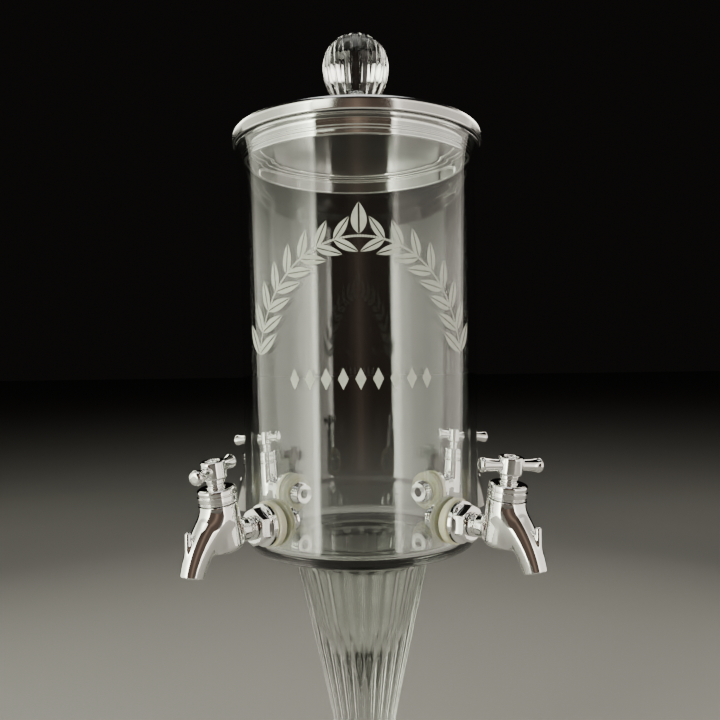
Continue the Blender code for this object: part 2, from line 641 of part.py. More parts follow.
def tap_body_mesh(chrome):
    profile = [(0.0, BARREL_TOP), (BARREL_RADIUS, BARREL_TOP)]
    profile += arc((BARREL_RADIUS - BARREL_ROUNDING, -BARREL_BOTTOM + BARREL_ROUNDING), BARREL_ROUNDING,
                   0.0, -90.0, 2)
    profile += [(0.0, -BARREL_BOTTOM)]
    barrel = turned("barrel", profile, TAP_SIDES)
    leaned(barrel)
    spout_steps = 7
    shares = [step / spout_steps for step in range(spout_steps + 1)]
    spout = tube("spout", [tuple(spout_point(share)) for share in shares], SPOUT_ROOT_RADIUS,
                 [spout_width(share) for share in shares], 3)
    profile = [(0.0, LUG_HEIGHT), (LUG_RADIUS * 0.7, LUG_HEIGHT - LUG_RADIUS * 0.3),
               (LUG_RADIUS, LUG_HEIGHT - LUG_RADIUS), (LUG_RADIUS * 1.15, 0.0), (0.0, 0.0)]
    lug = turned("lug", profile, SMALL_SIDES)
    lug.matrix_world = Matrix.Translation((LUG_OFFSET, 0.0, LUG_TOP - LUG_HEIGHT))

    collar_face = HEX_FACE + FIT_GAP - TAP_REACH
    collar_end = collar_face + NECK_COLLAR_LENGTH
    neck_start = collar_end + 2.0 * NECK_GROOVE_WIDTH
    barrel_wall = -BARREL_RADIUS
    profile = [(0.0, 0.0), (NECK_ROOT_RADIUS, 0.0), (NECK_ROOT_RADIUS * 0.96, 0.6 * barrel_wall),
               (NECK_RADIUS * 1.05, barrel_wall + 0.1 * (neck_start - barrel_wall)),
               (NECK_RADIUS, barrel_wall + 0.6 * (neck_start - barrel_wall)),
               (NECK_GROOVE_RADIUS, neck_start), (NECK_GROOVE_RADIUS, collar_end + NECK_GROOVE_WIDTH),
               (NECK_COLLAR_RADIUS, collar_end), (NECK_COLLAR_RADIUS, collar_face),
               (TAIL_RADIUS, collar_face), (TAIL_RADIUS, collar_face - TAIL_LENGTH),
               (0.0, collar_face - TAIL_LENGTH)]
    neck = round_x(turned("neck", profile, RING_SIDES))

    chamber = rod("chamber", PLUG_RADIUS + TURN_GAP, (0.0, 0.0, -BARREL_BOTTOM + BARREL_FLOOR),
                  (0.0, 0.0, BARREL_TOP + CUT_MARGIN), TAP_SIDES)
    leaned(chamber)
    inlet = rod("inlet", WATERWAY_RADIUS, (collar_face - TAIL_LENGTH - CUT_MARGIN, 0.0, 0.0),
                (-0.5 * PLUG_RADIUS, 0.0, 0.0), SMALL_SIDES)
    tip = spout_point(1.0)
    run = (tip - spout_point(0.9)).normalized()
    mouth = tip - run * MOUTH_BORE_DEPTH
    route = [(0.5 * PLUG_RADIUS, 0.0), (PLUG_RADIUS + TURN_GAP + 0.5 * WATERWAY_RADIUS, 0.0)]
    route += [tuple(spout_point(share)) for share in (0.5, 0.62, 0.74)]
    route += [tuple(mouth), tuple(mouth + run * 0.1 * MOUTH_BORE_DEPTH), tuple(tip + run * CUT_MARGIN)]
    widths = [1.0] * (len(route) - 2) + [MOUTH_BORE_RADIUS / WATERWAY_RADIUS] * 2
    outlet = tube("outlet", route, WATERWAY_RADIUS, widths, 1)
    mesh = combined("tap_body", barrel, (spout, neck, lug), (chamber, inlet, outlet))
    mesh.materials.append(chrome)
    smooth(mesh)
    return mesh


def shank_mesh(chrome):
    flange_inner = FLANGE_FACE - TAP_REACH
    flange_outer = flange_inner + FLANGE_THICKNESS
    outer_face = HEX_FACE - TAP_REACH
    thread_start = LOCK_NUT_FACE - FIT_GAP - TAP_REACH
    thread_end = thread_start - THREAD_SHOWING
    pitch = THREAD_SHOWING / THREAD_RIDGES
    rim = 0.35 * FLANGE_THICKNESS
    profile = [(0.0, flange_outer), (FLANGE_RADIUS - rim, flange_outer),
               (FLANGE_RADIUS, flange_outer - rim), (FLANGE_RADIUS, flange_inner),
               (THREAD_RADIUS, flange_inner)]
    for ridge in range(THREAD_RIDGES):
        crest = thread_start - pitch * ridge
        profile += [(THREAD_RADIUS, crest), (THREAD_RADIUS - THREAD_DEPTH, crest - 0.5 * pitch)]
    profile += [(THREAD_RADIUS - THREAD_DEPTH, thread_end), (0.0, thread_end)]
    barrel = round_x(turned("shank", profile, TAP_SIDES))
    grip = prism("grip", HEX_WIDTH, HEX_LENGTH + 0.5 * FLANGE_THICKNESS)
    grip.matrix_world = (Matrix.Translation((flange_outer - 0.5 * FLANGE_THICKNESS, 0.0, 0.0))
                         @ Matrix.Rotation(math.radians(90.0), 4, "Y"))
    socket = rod("socket", TAIL_RADIUS + FIT_GAP, (outer_face - TAIL_LENGTH - FIT_GAP, 0.0, 0.0),
                 (outer_face + CUT_MARGIN, 0.0, 0.0), RING_SIDES)
    waterway = rod("waterway", WATERWAY_RADIUS, (thread_end - CUT_MARGIN, 0.0, 0.0),
                   (outer_face + CUT_MARGIN, 0.0, 0.0), SMALL_SIDES)
    mesh = combined("tap_shank", barrel, (grip,), (socket, waterway))
    mesh.materials.append(chrome)
    smooth(mesh)
    return mesh


def flat_ring(name, outer, bore, low, high, edge=0.0):
    """A ring along X, between two distances from the fountain's axis."""
    low -= TAP_REACH
    high -= TAP_REACH
    if edge > 0.0:
        profile = [(bore, high), (outer - edge, high), (outer, high - edge), (outer, low + edge),
                   (outer - edge, low), (bore, low)]
    else:
        profile = [(bore, high), (outer, high), (outer, low), (bore, low)]
    return round_x(turned(name, profile, RING_SIDES, closed=True))


def saddled(name, item, look, radius, operation):
    """Shapes a ring to the round glass: hollow outside the wall, or crowned inside it."""
    reach = 2.0 * OUTER_WASHER_RADIUS
    profile = [(0.0, reach), (radius, reach), (radius, -reach), (0.0, -reach)]
    glass = turned("glass_form", profile, 2 * GLASS_SIDES)
    glass.matrix_world = Matrix.Translation((-TAP_REACH, 0.0, 0.0))
    boolean(item, glass, operation)
    mesh = baked(item)
    mesh.name = name
    bpy.data.objects.remove(glass, do_unlink=True)
    mesh.materials.append(look)
    smooth(mesh)
    return mesh


def washer_meshes(nylon):
    bore = THREAD_RADIUS + FIT_GAP
    sagitta = OUTER_WASHER_RADIUS ** 2 / BODY_RADIUS
    outer = flat_ring("tap_outer_washer", OUTER_WASHER_RADIUS, bore, BODY_RADIUS - sagitta,
                      FLANGE_FACE - FIT_GAP)
    outer = saddled("tap_outer_washer", outer, nylon, BODY_RADIUS + FIT_GAP, "DIFFERENCE")
    inner = flat_ring("tap_inner_washer", LOCK_NUT_RADIUS, bore, INNER_WASHER_FACE,
                      BODY_INNER_RADIUS + FIT_GAP)
    inner = saddled("tap_inner_washer", inner, nylon, BODY_INNER_RADIUS - 2.0 * FIT_GAP, "INTERSECT")
    nut = baked(flat_ring("tap_lock_nut", LOCK_NUT_RADIUS, bore, LOCK_NUT_FACE,
                          LOCK_NUT_FACE + LOCK_NUT_THICKNESS, 0.25 * LOCK_NUT_THICKNESS))
    nut.name = "tap_lock_nut"
    nut.materials.append(nylon)
    smooth(nut)
    return {"outer_washer": outer, "inner_washer": inner, "lock_nut": nut}


def bonnet_mesh(chrome):
    seat = BARREL_TOP + FIT_GAP
    top = seat + BONNET_HEIGHT
    bore = SPINDLE_RADIUS + TURN_GAP
    chamber = PLUG_RADIUS + TURN_GAP
    profile = [(bore, top), (BONNET_RADIUS - BONNET_ROUND_IN, top), (BONNET_RADIUS, top - BONNET_ROUND_DOWN),
               (BONNET_RADIUS, seat), (chamber - FIT_GAP, seat), (chamber - FIT_GAP, seat - BONNET_SPIGOT),
               (bore, seat - BONNET_SPIGOT)]
    mesh = baked(turned("bonnet", profile, TAP_SIDES, closed=True))
    mesh.name = "tap_bonnet"
    mesh.materials.append(chrome)
    smooth(mesh)
    return mesh


def seal_mesh(rubber):
    """The O-ring round the spindle, between the plug's shoulder and the bonnet's spigot."""
    low = PLUG_TOP + FIT_GAP
    inner = SPINDLE_RADIUS + TURN_GAP
    ring_radius = SEAL_THICKNESS / 2.0
    profile = arc((inner + ring_radius, low + ring_radius), ring_radius, 90.0, -210.0, 5)
    mesh = baked(turned("seal", profile, RING_SIDES, closed=True))
    mesh.name = "tap_seal"
    mesh.materials.append(rubber)
    smooth(mesh, 80.0)
    return mesh


def spindle_mesh(chrome):
    foot = -BARREL_BOTTOM + BARREL_FLOOR + TURN_GAP
    neck_top = HUB_BOTTOM - FIT_GAP
    stub_top = WEB_BOTTOM - FIT_GAP
    profile = [(0.0, stub_top), (SPINDLE_STUB_RADIUS, stub_top), (SPINDLE_STUB_RADIUS, neck_top),
               (SPINDLE_RADIUS, neck_top), (SPINDLE_RADIUS, PLUG_TOP), (PLUG_RADIUS, PLUG_TOP),
               (PLUG_RADIUS, foot), (0.0, foot)]
    body = turned("spindle", profile, RING_SIDES)
    port_end = PLUG_RADIUS + CUT_MARGIN
    port = rod("port", PLUG_PORT_RADIUS, (0.0, -port_end, 0.0), (0.0, port_end, 0.0), SMALL_SIDES)
    tapped = rod("tapped", SCREW_RADIUS + FIT_GAP, (0.0, 0.0, SCREW_SEAT - SCREW_LENGTH - SCREW_RUNOUT),
                 (0.0, 0.0, stub_top + CUT_MARGIN), SMALL_SIDES)
    mesh = combined("tap_spindle", body, (), (port, tapped))
    mesh.materials.append(chrome)
    smooth(mesh)
    return mesh


def handle_mesh(chrome):
    middle = HUB_BOTTOM + HUB_HEIGHT / 2.0
    profile = [(0.0, HUB_TOP), (HUB_RADIUS - HUB_EDGE, HUB_TOP), (HUB_RADIUS, HUB_TOP - HUB_EDGE),
               (HUB_RADIUS - HUB_TAPER, HUB_BOTTOM), (0.0, HUB_BOTTOM)]
    hub = turned("hub", profile, RING_SIDES)
    half = [(BAR_ROOT_RADIUS, HUB_RADIUS), (BAR_ROOT_RADIUS * 1.1, BAR_HALF_LENGTH - BAR_END_LENGTH),
            (BAR_END_RADIUS, BAR_HALF_LENGTH - BAR_CAP_LENGTH), (BAR_END_RADIUS * 0.8, BAR_HALF_LENGTH),
            (0.0, BAR_HALF_LENGTH)]
    profile = list(reversed(half)) + [(r, -z) for r, z in half]
    bar = turned("bar", profile, BAR_SIDES)
    bar.matrix_world = Matrix.Translation((0.0, 0.0, middle)) @ Matrix.Rotation(math.radians(90.0), 4, "Y")
    socket = rod("socket", SPINDLE_STUB_RADIUS + FIT_GAP, (0.0, 0.0, HUB_BOTTOM - CUT_MARGIN),
                 (0.0, 0.0, WEB_BOTTOM), RING_SIDES)
    screw_way = rod("screw_way", SCREW_RADIUS + FIT_GAP, (0.0, 0.0, WEB_BOTTOM - CUT_MARGIN),
                    (0.0, 0.0, WEB_TOP + CUT_MARGIN), SMALL_SIDES)
    head_well = rod("head_well", SCREW_HEAD_RADIUS + FIT_GAP, (0.0, 0.0, WEB_TOP),
                    (0.0, 0.0, HUB_TOP + CUT_MARGIN), RING_SIDES)
    mesh = combined("tap_handle", hub, (bar,), (socket, screw_way, head_well))
    mesh.materials.append(chrome)
    smooth(mesh)
    return mesh


def screw_mesh(steel):
    tip = SCREW_SEAT - SCREW_LENGTH
    profile = [(0.0, HUB_TOP - SCREW_CROWN), (SCREW_HEAD_RADIUS * 0.7, HUB_TOP - 2.0 * SCREW_CROWN),
               (SCREW_HEAD_RADIUS, SCREW_SEAT + 0.5 * SCREW_HEAD_HEIGHT), (SCREW_HEAD_RADIUS, SCREW_SEAT),
               (SCREW_RADIUS, SCREW_SEAT), (SCREW_RADIUS, tip), (0.0, tip)]
    mesh = baked(turned("screw", profile, SMALL_SIDES))
    mesh.name = "tap_handle_screw"
    mesh.materials.append(steel)
    smooth(mesh)
    return mesh


def make_taps(chrome, nylon, rubber, steel):
    fixed = {"body": tap_body_mesh(chrome), "shank": shank_mesh(chrome)}
    fixed.update(washer_meshes(nylon))
    on_barrel = {"bonnet": bonnet_mesh(chrome), "seal": seal_mesh(rubber)}
    turning = {"spindle": spindle_mesh(chrome), "handle": handle_mesh(chrome),
               "handle_screw": screw_mesh(steel)}
    for index in range(TAP_COUNT):
        number = index + 1
        angle = math.radians(FIRST_TAP_ANGLE + 360.0 * index / TAP_COUNT)
        mount = empty(f"tap_{number}_frame")
        mount.location = (TAP_REACH * math.cos(angle), TAP_REACH * math.sin(angle), SHANK_HEIGHT)
        mount.rotation_euler = (0.0, 0.0, angle)
        axis = empty(f"tap_{number}_axis")
        axis.parent = mount
        axis.rotation_euler = (0.0, math.radians(BARREL_LEAN), 0.0)
        for name, mesh in fixed.items():
            new_object(f"tap_{number}_{name}", mesh).parent = mount
        for name, mesh in on_barrel.items():
            new_object(f"tap_{number}_{name}", mesh).parent = axis
        for name, mesh in turning.items():
            piece = new_object(f"tap_{number}_{name}", mesh)
            piece.parent = axis
            if name != "spindle":
                piece.rotation_euler = (0.0, 0.0, math.radians(HANDLE_CLOCKING[index]))


def empty(name):
    return new_object(name, None)


def main():
    clear_scene()
    glass = material("clear_glass", (0.95, 0.97, 0.96), 0.02, 0.0, 1.0, 1.5)
    knob_glass = material("knob_glass", (0.94, 0.96, 0.94), 0.02, 0.0, 1.0, 1.5)
    chrome = material("polished_chrome", (0.88, 0.88, 0.86), 0.06, 1.0)
    nylon = material("natural_nylon", (0.83, 0.81, 0.66), 0.42, 0.0)
    rubber = material("black_rubber", (0.03, 0.03, 0.03), 0.7, 0.0)
    steel = material("zinc_steel", (0.62, 0.63, 0.64), 0.3, 1.0)
    make_pedestal(glass)
    make_reservoir(glass)
    lid_frame = empty("lid_frame")
    lid_frame.location = (0.0, 0.0, LIP_HEIGHT)
    make_lid(chrome, lid_frame)
    make_knob(knob_glass, chrome, steel, lid_frame)
    make_taps(chrome, nylon, rubber, steel)


main()
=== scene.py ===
# Absinthe fountain: fine surfaces, finishes, studio and camera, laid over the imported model.
# Metres, +Z up, on the fountain's axis. -Y is the front.
import math
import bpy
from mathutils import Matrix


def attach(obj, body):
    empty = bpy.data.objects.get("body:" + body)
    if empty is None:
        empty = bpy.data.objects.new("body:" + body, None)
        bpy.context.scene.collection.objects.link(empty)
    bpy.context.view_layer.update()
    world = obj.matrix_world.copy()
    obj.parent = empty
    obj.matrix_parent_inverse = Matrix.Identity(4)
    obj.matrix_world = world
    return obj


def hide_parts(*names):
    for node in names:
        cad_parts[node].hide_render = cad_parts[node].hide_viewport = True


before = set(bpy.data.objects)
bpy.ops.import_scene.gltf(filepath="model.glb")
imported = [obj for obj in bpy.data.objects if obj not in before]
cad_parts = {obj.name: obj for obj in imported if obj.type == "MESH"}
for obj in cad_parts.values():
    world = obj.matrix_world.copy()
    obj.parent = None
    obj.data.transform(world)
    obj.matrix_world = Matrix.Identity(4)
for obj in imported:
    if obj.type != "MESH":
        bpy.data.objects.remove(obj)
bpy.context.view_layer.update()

from types import SimpleNamespace

import bpy
import numpy as np
from mathutils import Matrix, Vector

tapFacts = {
    "angles": (225.0, 315.0, 45.0, 135.0),   # where each tap stands round the fountain
    "reach": 0.0942,                         # fountain's axis to barrel's axis, along the shank
    "shankHeight": 0.226,
    "lean": 8.0,                             # the barrel leans out
    "clocking": (24.0, 62.0, -22.0, 11.0),   # how far each handle happens to be turned
}


def named(facts):
    # A piece's dictionary, to be read as f.radius.
    return SimpleNamespace(**facts)


# Surfaces, worked out as whole arrays

def clamped(values):
    return np.clip(values, 0.0, 1.0)


def rings(r, z):
    # Profile points (r, z); either may be one number for all of them.
    return np.stack(np.broadcast_arrays(r, z), -1).astype(float)


def roundedProfile(corners, closed=False, step=9.0, guard=0.00012):
    # (r, z, fillet) corners become straight runs joined by arcs. A guard point stands close to
    # each arc's end, so the shading of a flat run stays flat.
    count, points = len(corners), []
    for i, (r, z, fillet) in enumerate(corners):
        here = np.array([r, z])
        if fillet <= 0.0 or (not closed and i in (0, count - 1)):
            points.append(here[None])
            continue
        before = np.array(corners[i - 1][:2]) - here
        after = np.array(corners[(i + 1) % count][:2]) - here
        back, ahead = np.linalg.norm(before), np.linalg.norm(after)
        before, after = before / back, after / ahead
        turn = math.pi - math.acos(float(np.clip(before @ after, -1.0, 1.0)))
        slope = math.tan(turn / 2.0)
        reach = min(fillet * slope, 0.49 * back, 0.49 * ahead)
        middle = (before + after) / max(np.linalg.norm(before + after), 1e-9)
        centre = here + middle * (reach / max(slope, 1e-9)) / max(math.cos(turn / 2.0), 1e-9)
        share = np.linspace(0.0, 1.0, max(2, math.ceil(math.degrees(turn) / step)) + 1)[:, None]
        first, last = here + before * reach - centre, here + after * reach - centre
        arc = centre + (np.sin((1.0 - share) * turn) * first + np.sin(share * turn) * last) / math.sin(turn)
        if back - reach > 3.0 * guard:
            points.append((arc[0] + before * guard)[None])
        points.append(arc)
        if ahead - reach > 3.0 * guard:
            points.append((arc[-1] + after * guard)[None])
    return np.concatenate(points)


def gridFaces(rows, columns, wrapRows=False):
    # Quads of a grid whose columns wrap round; its rows may wrap as well.
    row = np.arange(rows if wrapRows else rows - 1)[:, None]
    column = np.arange(columns)[None, :]
    here, below, beside = row * columns, (row + 1) % rows * columns, (column + 1) % columns
    return np.stack([here + column, below + column, below + beside, here + beside], -1).reshape(-1, 4)


def fan(pole, start, count, end):
    # Triangles between a pole and a ring of points: the first ring, or the last for an end of -1.
    here, beside = start + np.arange(count), start + (np.arange(count) + 1) % count
    ring = (here, beside) if end == 0 else (beside, here)
    return np.stack([np.full(count, pole), *ring], -1)


def turnedSurface(profile, segments, closed=False, swell=None):
    # point(angle, t) = (R cos angle, R sin angle, z(t)), with R = r(t) + swell(angle, r, z).
    # A profile that ends on the axis is closed there by a fan round one point.
    profile = np.asarray(profile, float)
    poles = [] if closed else [end for end in (0, -1) if profile[end][0] < 1e-7]
    body = profile[int(0 in poles):len(profile) - int(-1 in poles)]
    angle = 2.0 * np.pi * np.arange(segments) / segments
    angle, r, z = np.broadcast_arrays(angle[None], body[:, :1], body[:, 1:])
    spread = r if swell is None else r + swell(angle, r, z)
    points = np.stack([spread * np.cos(angle), spread * np.sin(angle), z], -1).reshape(-1, 3)
    tris = [np.zeros((0, 3), int)]
    for end in poles:
        tris.append(fan(len(points), 0 if end == 0 else (len(body) - 1) * segments, segments, end))
        points = np.concatenate([points, [[0.0, 0.0, profile[end][1]]]])
    return points, gridFaces(len(body), segments, closed), np.concatenate(tris)


def turnedRing(corners, segments):
    return turnedSurface(roundedProfile(corners, closed=True), segments, closed=True)


def castSurface(field, low, high, cell):
    # The skin where a distance field is zero. Each grid cell that it crosses holds one point, at the
    # mean of its edge crossings, which then slides down the field's slope onto the skin.
    low = np.array(low)
    counts = np.ceil((np.array(high) - low) / cell).astype(int) + 1
    axes = [low[i] + cell * np.arange(counts[i]) for i in range(3)]
    values = field(*np.meshgrid(*axes, indexing="ij"))
    inside = values < 0.0
    cells = tuple(counts - 1)
    total, hits, crossings = np.zeros((*cells, 3)), np.zeros(cells), []
    for axis in range(3):
        near = tuple(slice(0, -1) if i == axis else slice(None) for i in range(3))
        far = tuple(slice(1, None) if i == axis else slice(None) for i in range(3))
        crossed = inside[near] != inside[far]
        share = np.where(crossed, values[near] / np.where(crossed, values[near] - values[far], 1.0), 0.0)
        place = np.stack(np.meshgrid(*[a[n] for a, n in zip(axes, near)], indexing="ij"), -1)
        place[..., axis] += cell * share
        for shift in ([0, 0], [0, 1], [1, 0], [1, 1]):
            shift.insert(axis, 0)
            window = tuple(slice(start, start + size) for start, size in zip(shift, cells))
            total += place[window] * crossed[window][..., None]
            hits += crossed[window]
        crossings.append(crossed)
    active = hits > 0
    number = np.full(cells, -1)
    number[active] = np.arange(active.sum())
    points = total[active] / hits[active][:, None]
    quads = []
    for axis, crossed in enumerate(crossings):
        pair = [(axis + 1) % 3, (axis + 2) % 3]
        found = np.argwhere(crossed)
        found = found[((found[:, pair] > 0) & (found[:, pair] < counts[pair] - 1)).all(1)]
        quad = []
        for shift in ((-1, -1), (0, -1), (0, 0), (-1, 0)):
            corner = found.copy()
            corner[:, pair] += shift
            quad.append(number[tuple(corner.T)])
        quad = np.stack(quad, -1)
        quads.append(np.where(inside[tuple(found.T)][:, None], quad, quad[:, ::-1]))
    reach = 0.05 * cell
    for _ in range(4):
        rise = [field(*(points + step).T) - field(*(points - step).T) for step in reach * np.eye(3)]
        slope = np.stack(rise, -1) / (2.0 * reach)
        shift = (field(*points.T) / np.maximum((slope ** 2).sum(-1), 0.05))[:, None] * slope
        points = points - np.clip(shift, -0.5 * cell, 0.5 * cell)
    return points, np.concatenate(quads), np.zeros((0, 3), int)


def joined(*surfaces):
    # Several closed skins in one mesh.
    points, quads, tris = zip(*surfaces)
    starts = np.cumsum([0] + [len(p) for p in points[:-1]])
    return (np.concatenate(points), np.concatenate([q + s for q, s in zip(quads, starts)]),
            np.concatenate([t + s for t, s in zip(tris, starts)]))


def skinMesh(name, surface, sharp=38.0):
    # The arrays go into a mesh at once. The sign of the enclosed volume says which way faces point.
    points, quads, tris = surface
    fans = np.concatenate([quads[:, [0, 1, 2]], quads[:, [0, 2, 3]], tris])
    a, b, c = (points[fans[:, i]] - points.mean(0) for i in range(3))
    if np.einsum("ij,ij->", a, np.cross(b, c)) < 0.0:
        quads, tris = quads[:, ::-1], tris[:, ::-1]
    corners = np.concatenate([quads.ravel(), tris.ravel()]).astype(np.int32)
    starts = np.concatenate([4 * np.arange(len(quads)), 4 * len(quads) + 3 * np.arange(len(tris))])
    mesh = bpy.data.meshes.new(name)
    mesh.vertices.add(len(points))
    mesh.vertices.foreach_set("co", points.astype(np.float32).ravel())
    mesh.loops.add(len(corners))
    mesh.loops.foreach_set("vertex_index", corners)
    mesh.polygons.add(len(starts))
    mesh.polygons.foreach_set("loop_start", starts.astype(np.int32))
    mesh.update(calc_edges=True)
    mesh.validate()
    mesh.shade_smooth()
    mesh.set_sharp_from_angle(angle=math.radians(sharp))
    return mesh


def addObject(name, data):
    item = bpy.data.objects.new(name, data)
    bpy.context.scene.collection.objects.link(item)
    return item


def addPiece(name, shape, material, body, slotName, *nodes, sharp=38.0):
    # The shape is a surface's arrays, or a mesh that is already made.
    mesh = skinMesh(name, shape, sharp) if isinstance(shape, tuple) else shape
    piece = addObject(name, mesh)
    mesh.materials.clear()
    mesh.materials.append(material)
    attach(piece, body)
    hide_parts(*nodes)


# Placing the taps' pieces

def spun(surface, degrees, first=0, second=1):
    # Turns a surface from its first axis towards its second.
    points, quads, tris = surface
    c, s = math.cos(math.radians(degrees)), math.sin(math.radians(degrees))
    a, b = points[:, first], points[:, second]
    points = points.copy()
    points[:, first], points[:, second] = c * a - s * b, s * a + c * b
    return points, quads, tris


def leaned(surface):
    # Tips the barrel's axis out, away from the fountain.
    return spun(surface, tapFacts["lean"], 2, 0)


def layAlongX(surface):
    # A surface turned round Z is laid along X, its top end pointing outwards.
    points, quads, tris = surface
    return points[:, [2, 1, 0]] * (1.0, 1.0, -1.0), quads, tris


def moved(surface, x, z=0.0):
    points, quads, tris = surface
    return points + (x, 0.0, z), quads, tris


def placeTap(surface, index, reach=tapFacts["reach"]):
    return moved(spun(moved(surface, reach), tapFacts["angles"][index]), 0.0, tapFacts["shankHeight"])


# Finishes

def feed(tree, node, inputs):
    # Links each value that is a socket, and sets each that is a number or a colour.
    for socket, value in inputs.items():
        if isinstance(value, bpy.types.NodeSocket):
            tree.links.new(value, node.inputs[socket])
        else:
            node.inputs[socket].default_value = value


def addNode(tree, kind, inputs=None, **settings):
    node = tree.nodes.new("ShaderNode" + kind)
    for key, value in settings.items():
        setattr(node, key, value)
    feed(tree, node, inputs or {})
    return node


def calc(tree, operation, *values):
    return addNode(tree, "Math", dict(enumerate(values)), operation=operation).outputs[0]


def mapped(tree, value, low, high, toLow=0.0, toHigh=1.0, smooth=True):
    return addNode(tree, "MapRange", dict(enumerate((value, low, high, toLow, toHigh))),
                   interpolation_type="SMOOTHSTEP" if smooth else "LINEAR").outputs[0]


def mixedColour(tree, share, first, second):
    first, second = ((*c, 1.0) if isinstance(c, tuple) else c for c in (first, second))
    return addNode(tree, "Mix", {0: share, 6: first, 7: second}, data_type="RGBA").outputs[2]


def relief(tree, height, strength, distance):
    inputs = {"Strength": strength, "Distance": distance, "Height": height}
    return addNode(tree, "Bump", inputs).outputs[0]


def noise(tree, place, scale, detail, **more):
    inputs = {"Vector": place, "Scale": scale, "Detail": detail, **more}
    return addNode(tree, "TexNoise", inputs).outputs["Fac"]


def objectPlace(tree):
    return addNode(tree, "TexCoord").outputs["Object"]


def newGroup(name, inputs, outputs):
    tree = bpy.data.node_groups.new(name, "ShaderNodeTree")
    for socket, value in inputs.items():
        tree.interface.new_socket(socket, in_out="INPUT", socket_type="NodeSocketFloat").default_value = value
    for socket in outputs:
        tree.interface.new_socket(socket, in_out="OUTPUT", socket_type="NodeSocketFloat")
    return tree, tree.nodes.new("NodeGroupInput").outputs, tree.nodes.new("NodeGroupOutput")


def useGroup(tree, group, **values):
    return addNode(tree, "Group", values, node_tree=group).outputs


def handlingGroup():
    # Finger smudges in broad patches, and fine hairlines crossing them.
    tree, given, result = newGroup("handlingMarks", {"Patch": 30.0, "Hairline": 900.0},
                                   ("Smudge", "Hairlines"))
    place = objectPlace(tree)
    patches = noise(tree, place, given["Patch"], 4.0, Roughness=0.6, Distortion=0.6)
    stretch = addNode(tree, "Mapping", {"Vector": place, "Rotation": (0.5, 0.3, 0.7),
                                        "Scale": (0.06, 1.0, 0.06)})
    lines = noise(tree, stretch.outputs[0], given["Hairline"], 2.0)
    feed(tree, result,
         {"Smudge": mapped(tree, patches, 0.45, 0.68), "Hairlines": mapped(tree, lines, 0.62, 0.74)})
    return tree


def mouldGroup():
    # Slow drift and fine grain of a moulded or cast surface.
    tree, given, result = newGroup("mouldGrain", {"Drift": 60.0, "Grain": 1500.0}, ("Drift", "Grain"))
    place = objectPlace(tree)
    feed(tree, result, {socket: noise(tree, place, given[socket], 3.0) for socket in ("Drift", "Grain")})
    return tree


def newMaterial(name):
    made = bpy.data.materials.new(name)
    made.use_nodes = True
    return made, made.node_tree, made.node_tree.nodes["Principled BSDF"]


chromeLook = {
    "bright": (0.93, 0.93, 0.915),
    "dull": (0.80, 0.80, 0.79),
    "roughness": (0.025, 0.11),
    "grain": 0.06,
    "paintedShade": (0.12, 0.12, 0.115),     # painted shade: nearly black, for the shaded hollow and gap under a cap, where a piece has one
    "paintedShadeRoughness": 0.25,
}
steelLook = {"bright": (0.66, 0.67, 0.69), "dull": (0.48, 0.47, 0.42), "roughness": (0.18, 0.42),
             "grain": 0.2}
capRoughness = (0.13, 0.22)           # the spun cap is a little softer than the plated castings


def metalMaterial(name, look=chromeLook, paintedShadeAbove=None):
    made, tree, shader = newMaterial(name)
    marks = useGroup(tree, handling, Patch=45.0, Hairline=1400.0)
    grain = useGroup(tree, mould, Drift=120.0, Grain=2500.0)
    worn = calc(tree, "MAXIMUM", calc(tree, "MULTIPLY", marks["Smudge"], 0.35),
                calc(tree, "MULTIPLY", marks["Hairlines"], 0.5))
    colour = mixedColour(tree, worn, look["bright"], look["dull"])
    roughness = mapped(tree, worn, 0.0, 1.0, *look["roughness"], False)
    # Above the given height the colour is painted shade, nearly black, and the roughness is raised too.
    if paintedShadeAbove is not None:
        height = addNode(tree, "SeparateXYZ", {0: objectPlace(tree)}).outputs[2]
        paintedShade = mapped(tree, height, paintedShadeAbove - 0.00002, paintedShadeAbove + 0.00002, smooth=False)
        colour = mixedColour(tree, paintedShade, colour, look["paintedShade"])
        roughness = calc(tree, "ADD", roughness, calc(tree, "MULTIPLY", paintedShade, look["paintedShadeRoughness"]))
    feed(tree, shader, {"Base Color": colour, "Roughness": roughness, "Metallic": 1.0,
                        "Normal": relief(tree, grain["Drift"], look["grain"], 0.0004)})
    return made


glassLook = {
    "clear": (0.965, 0.985, 0.972),
    "smudged": (0.93, 0.95, 0.94),
    "roughness": (0.0, 0.05),
    "wave": 0.05,
}
stemLook = dict(glassLook, clear=(0.77, 0.79, 0.755), smudged=(0.74, 0.76, 0.73))    # thick, so it is darker


def glassMaterial(name, look=glassLook):
    made, tree, shader = newMaterial(name)
    marks = useGroup(tree, handling, Patch=16.0, Hairline=700.0)
    grain = useGroup(tree, mould, Drift=22.0, Grain=900.0)
    worn = calc(tree, "MULTIPLY", marks["Smudge"], 0.5)
    feed(tree, shader, {"Base Color": mixedColour(tree, worn, look["clear"], look["smudged"]),
                        "Roughness": mapped(tree, worn, 0.0, 1.0, *look["roughness"], False),
                        "Transmission Weight": 1.0, "IOR": 1.5,
                        "Normal": relief(tree, grain["Drift"], look["wave"], 0.0008)})
    return made


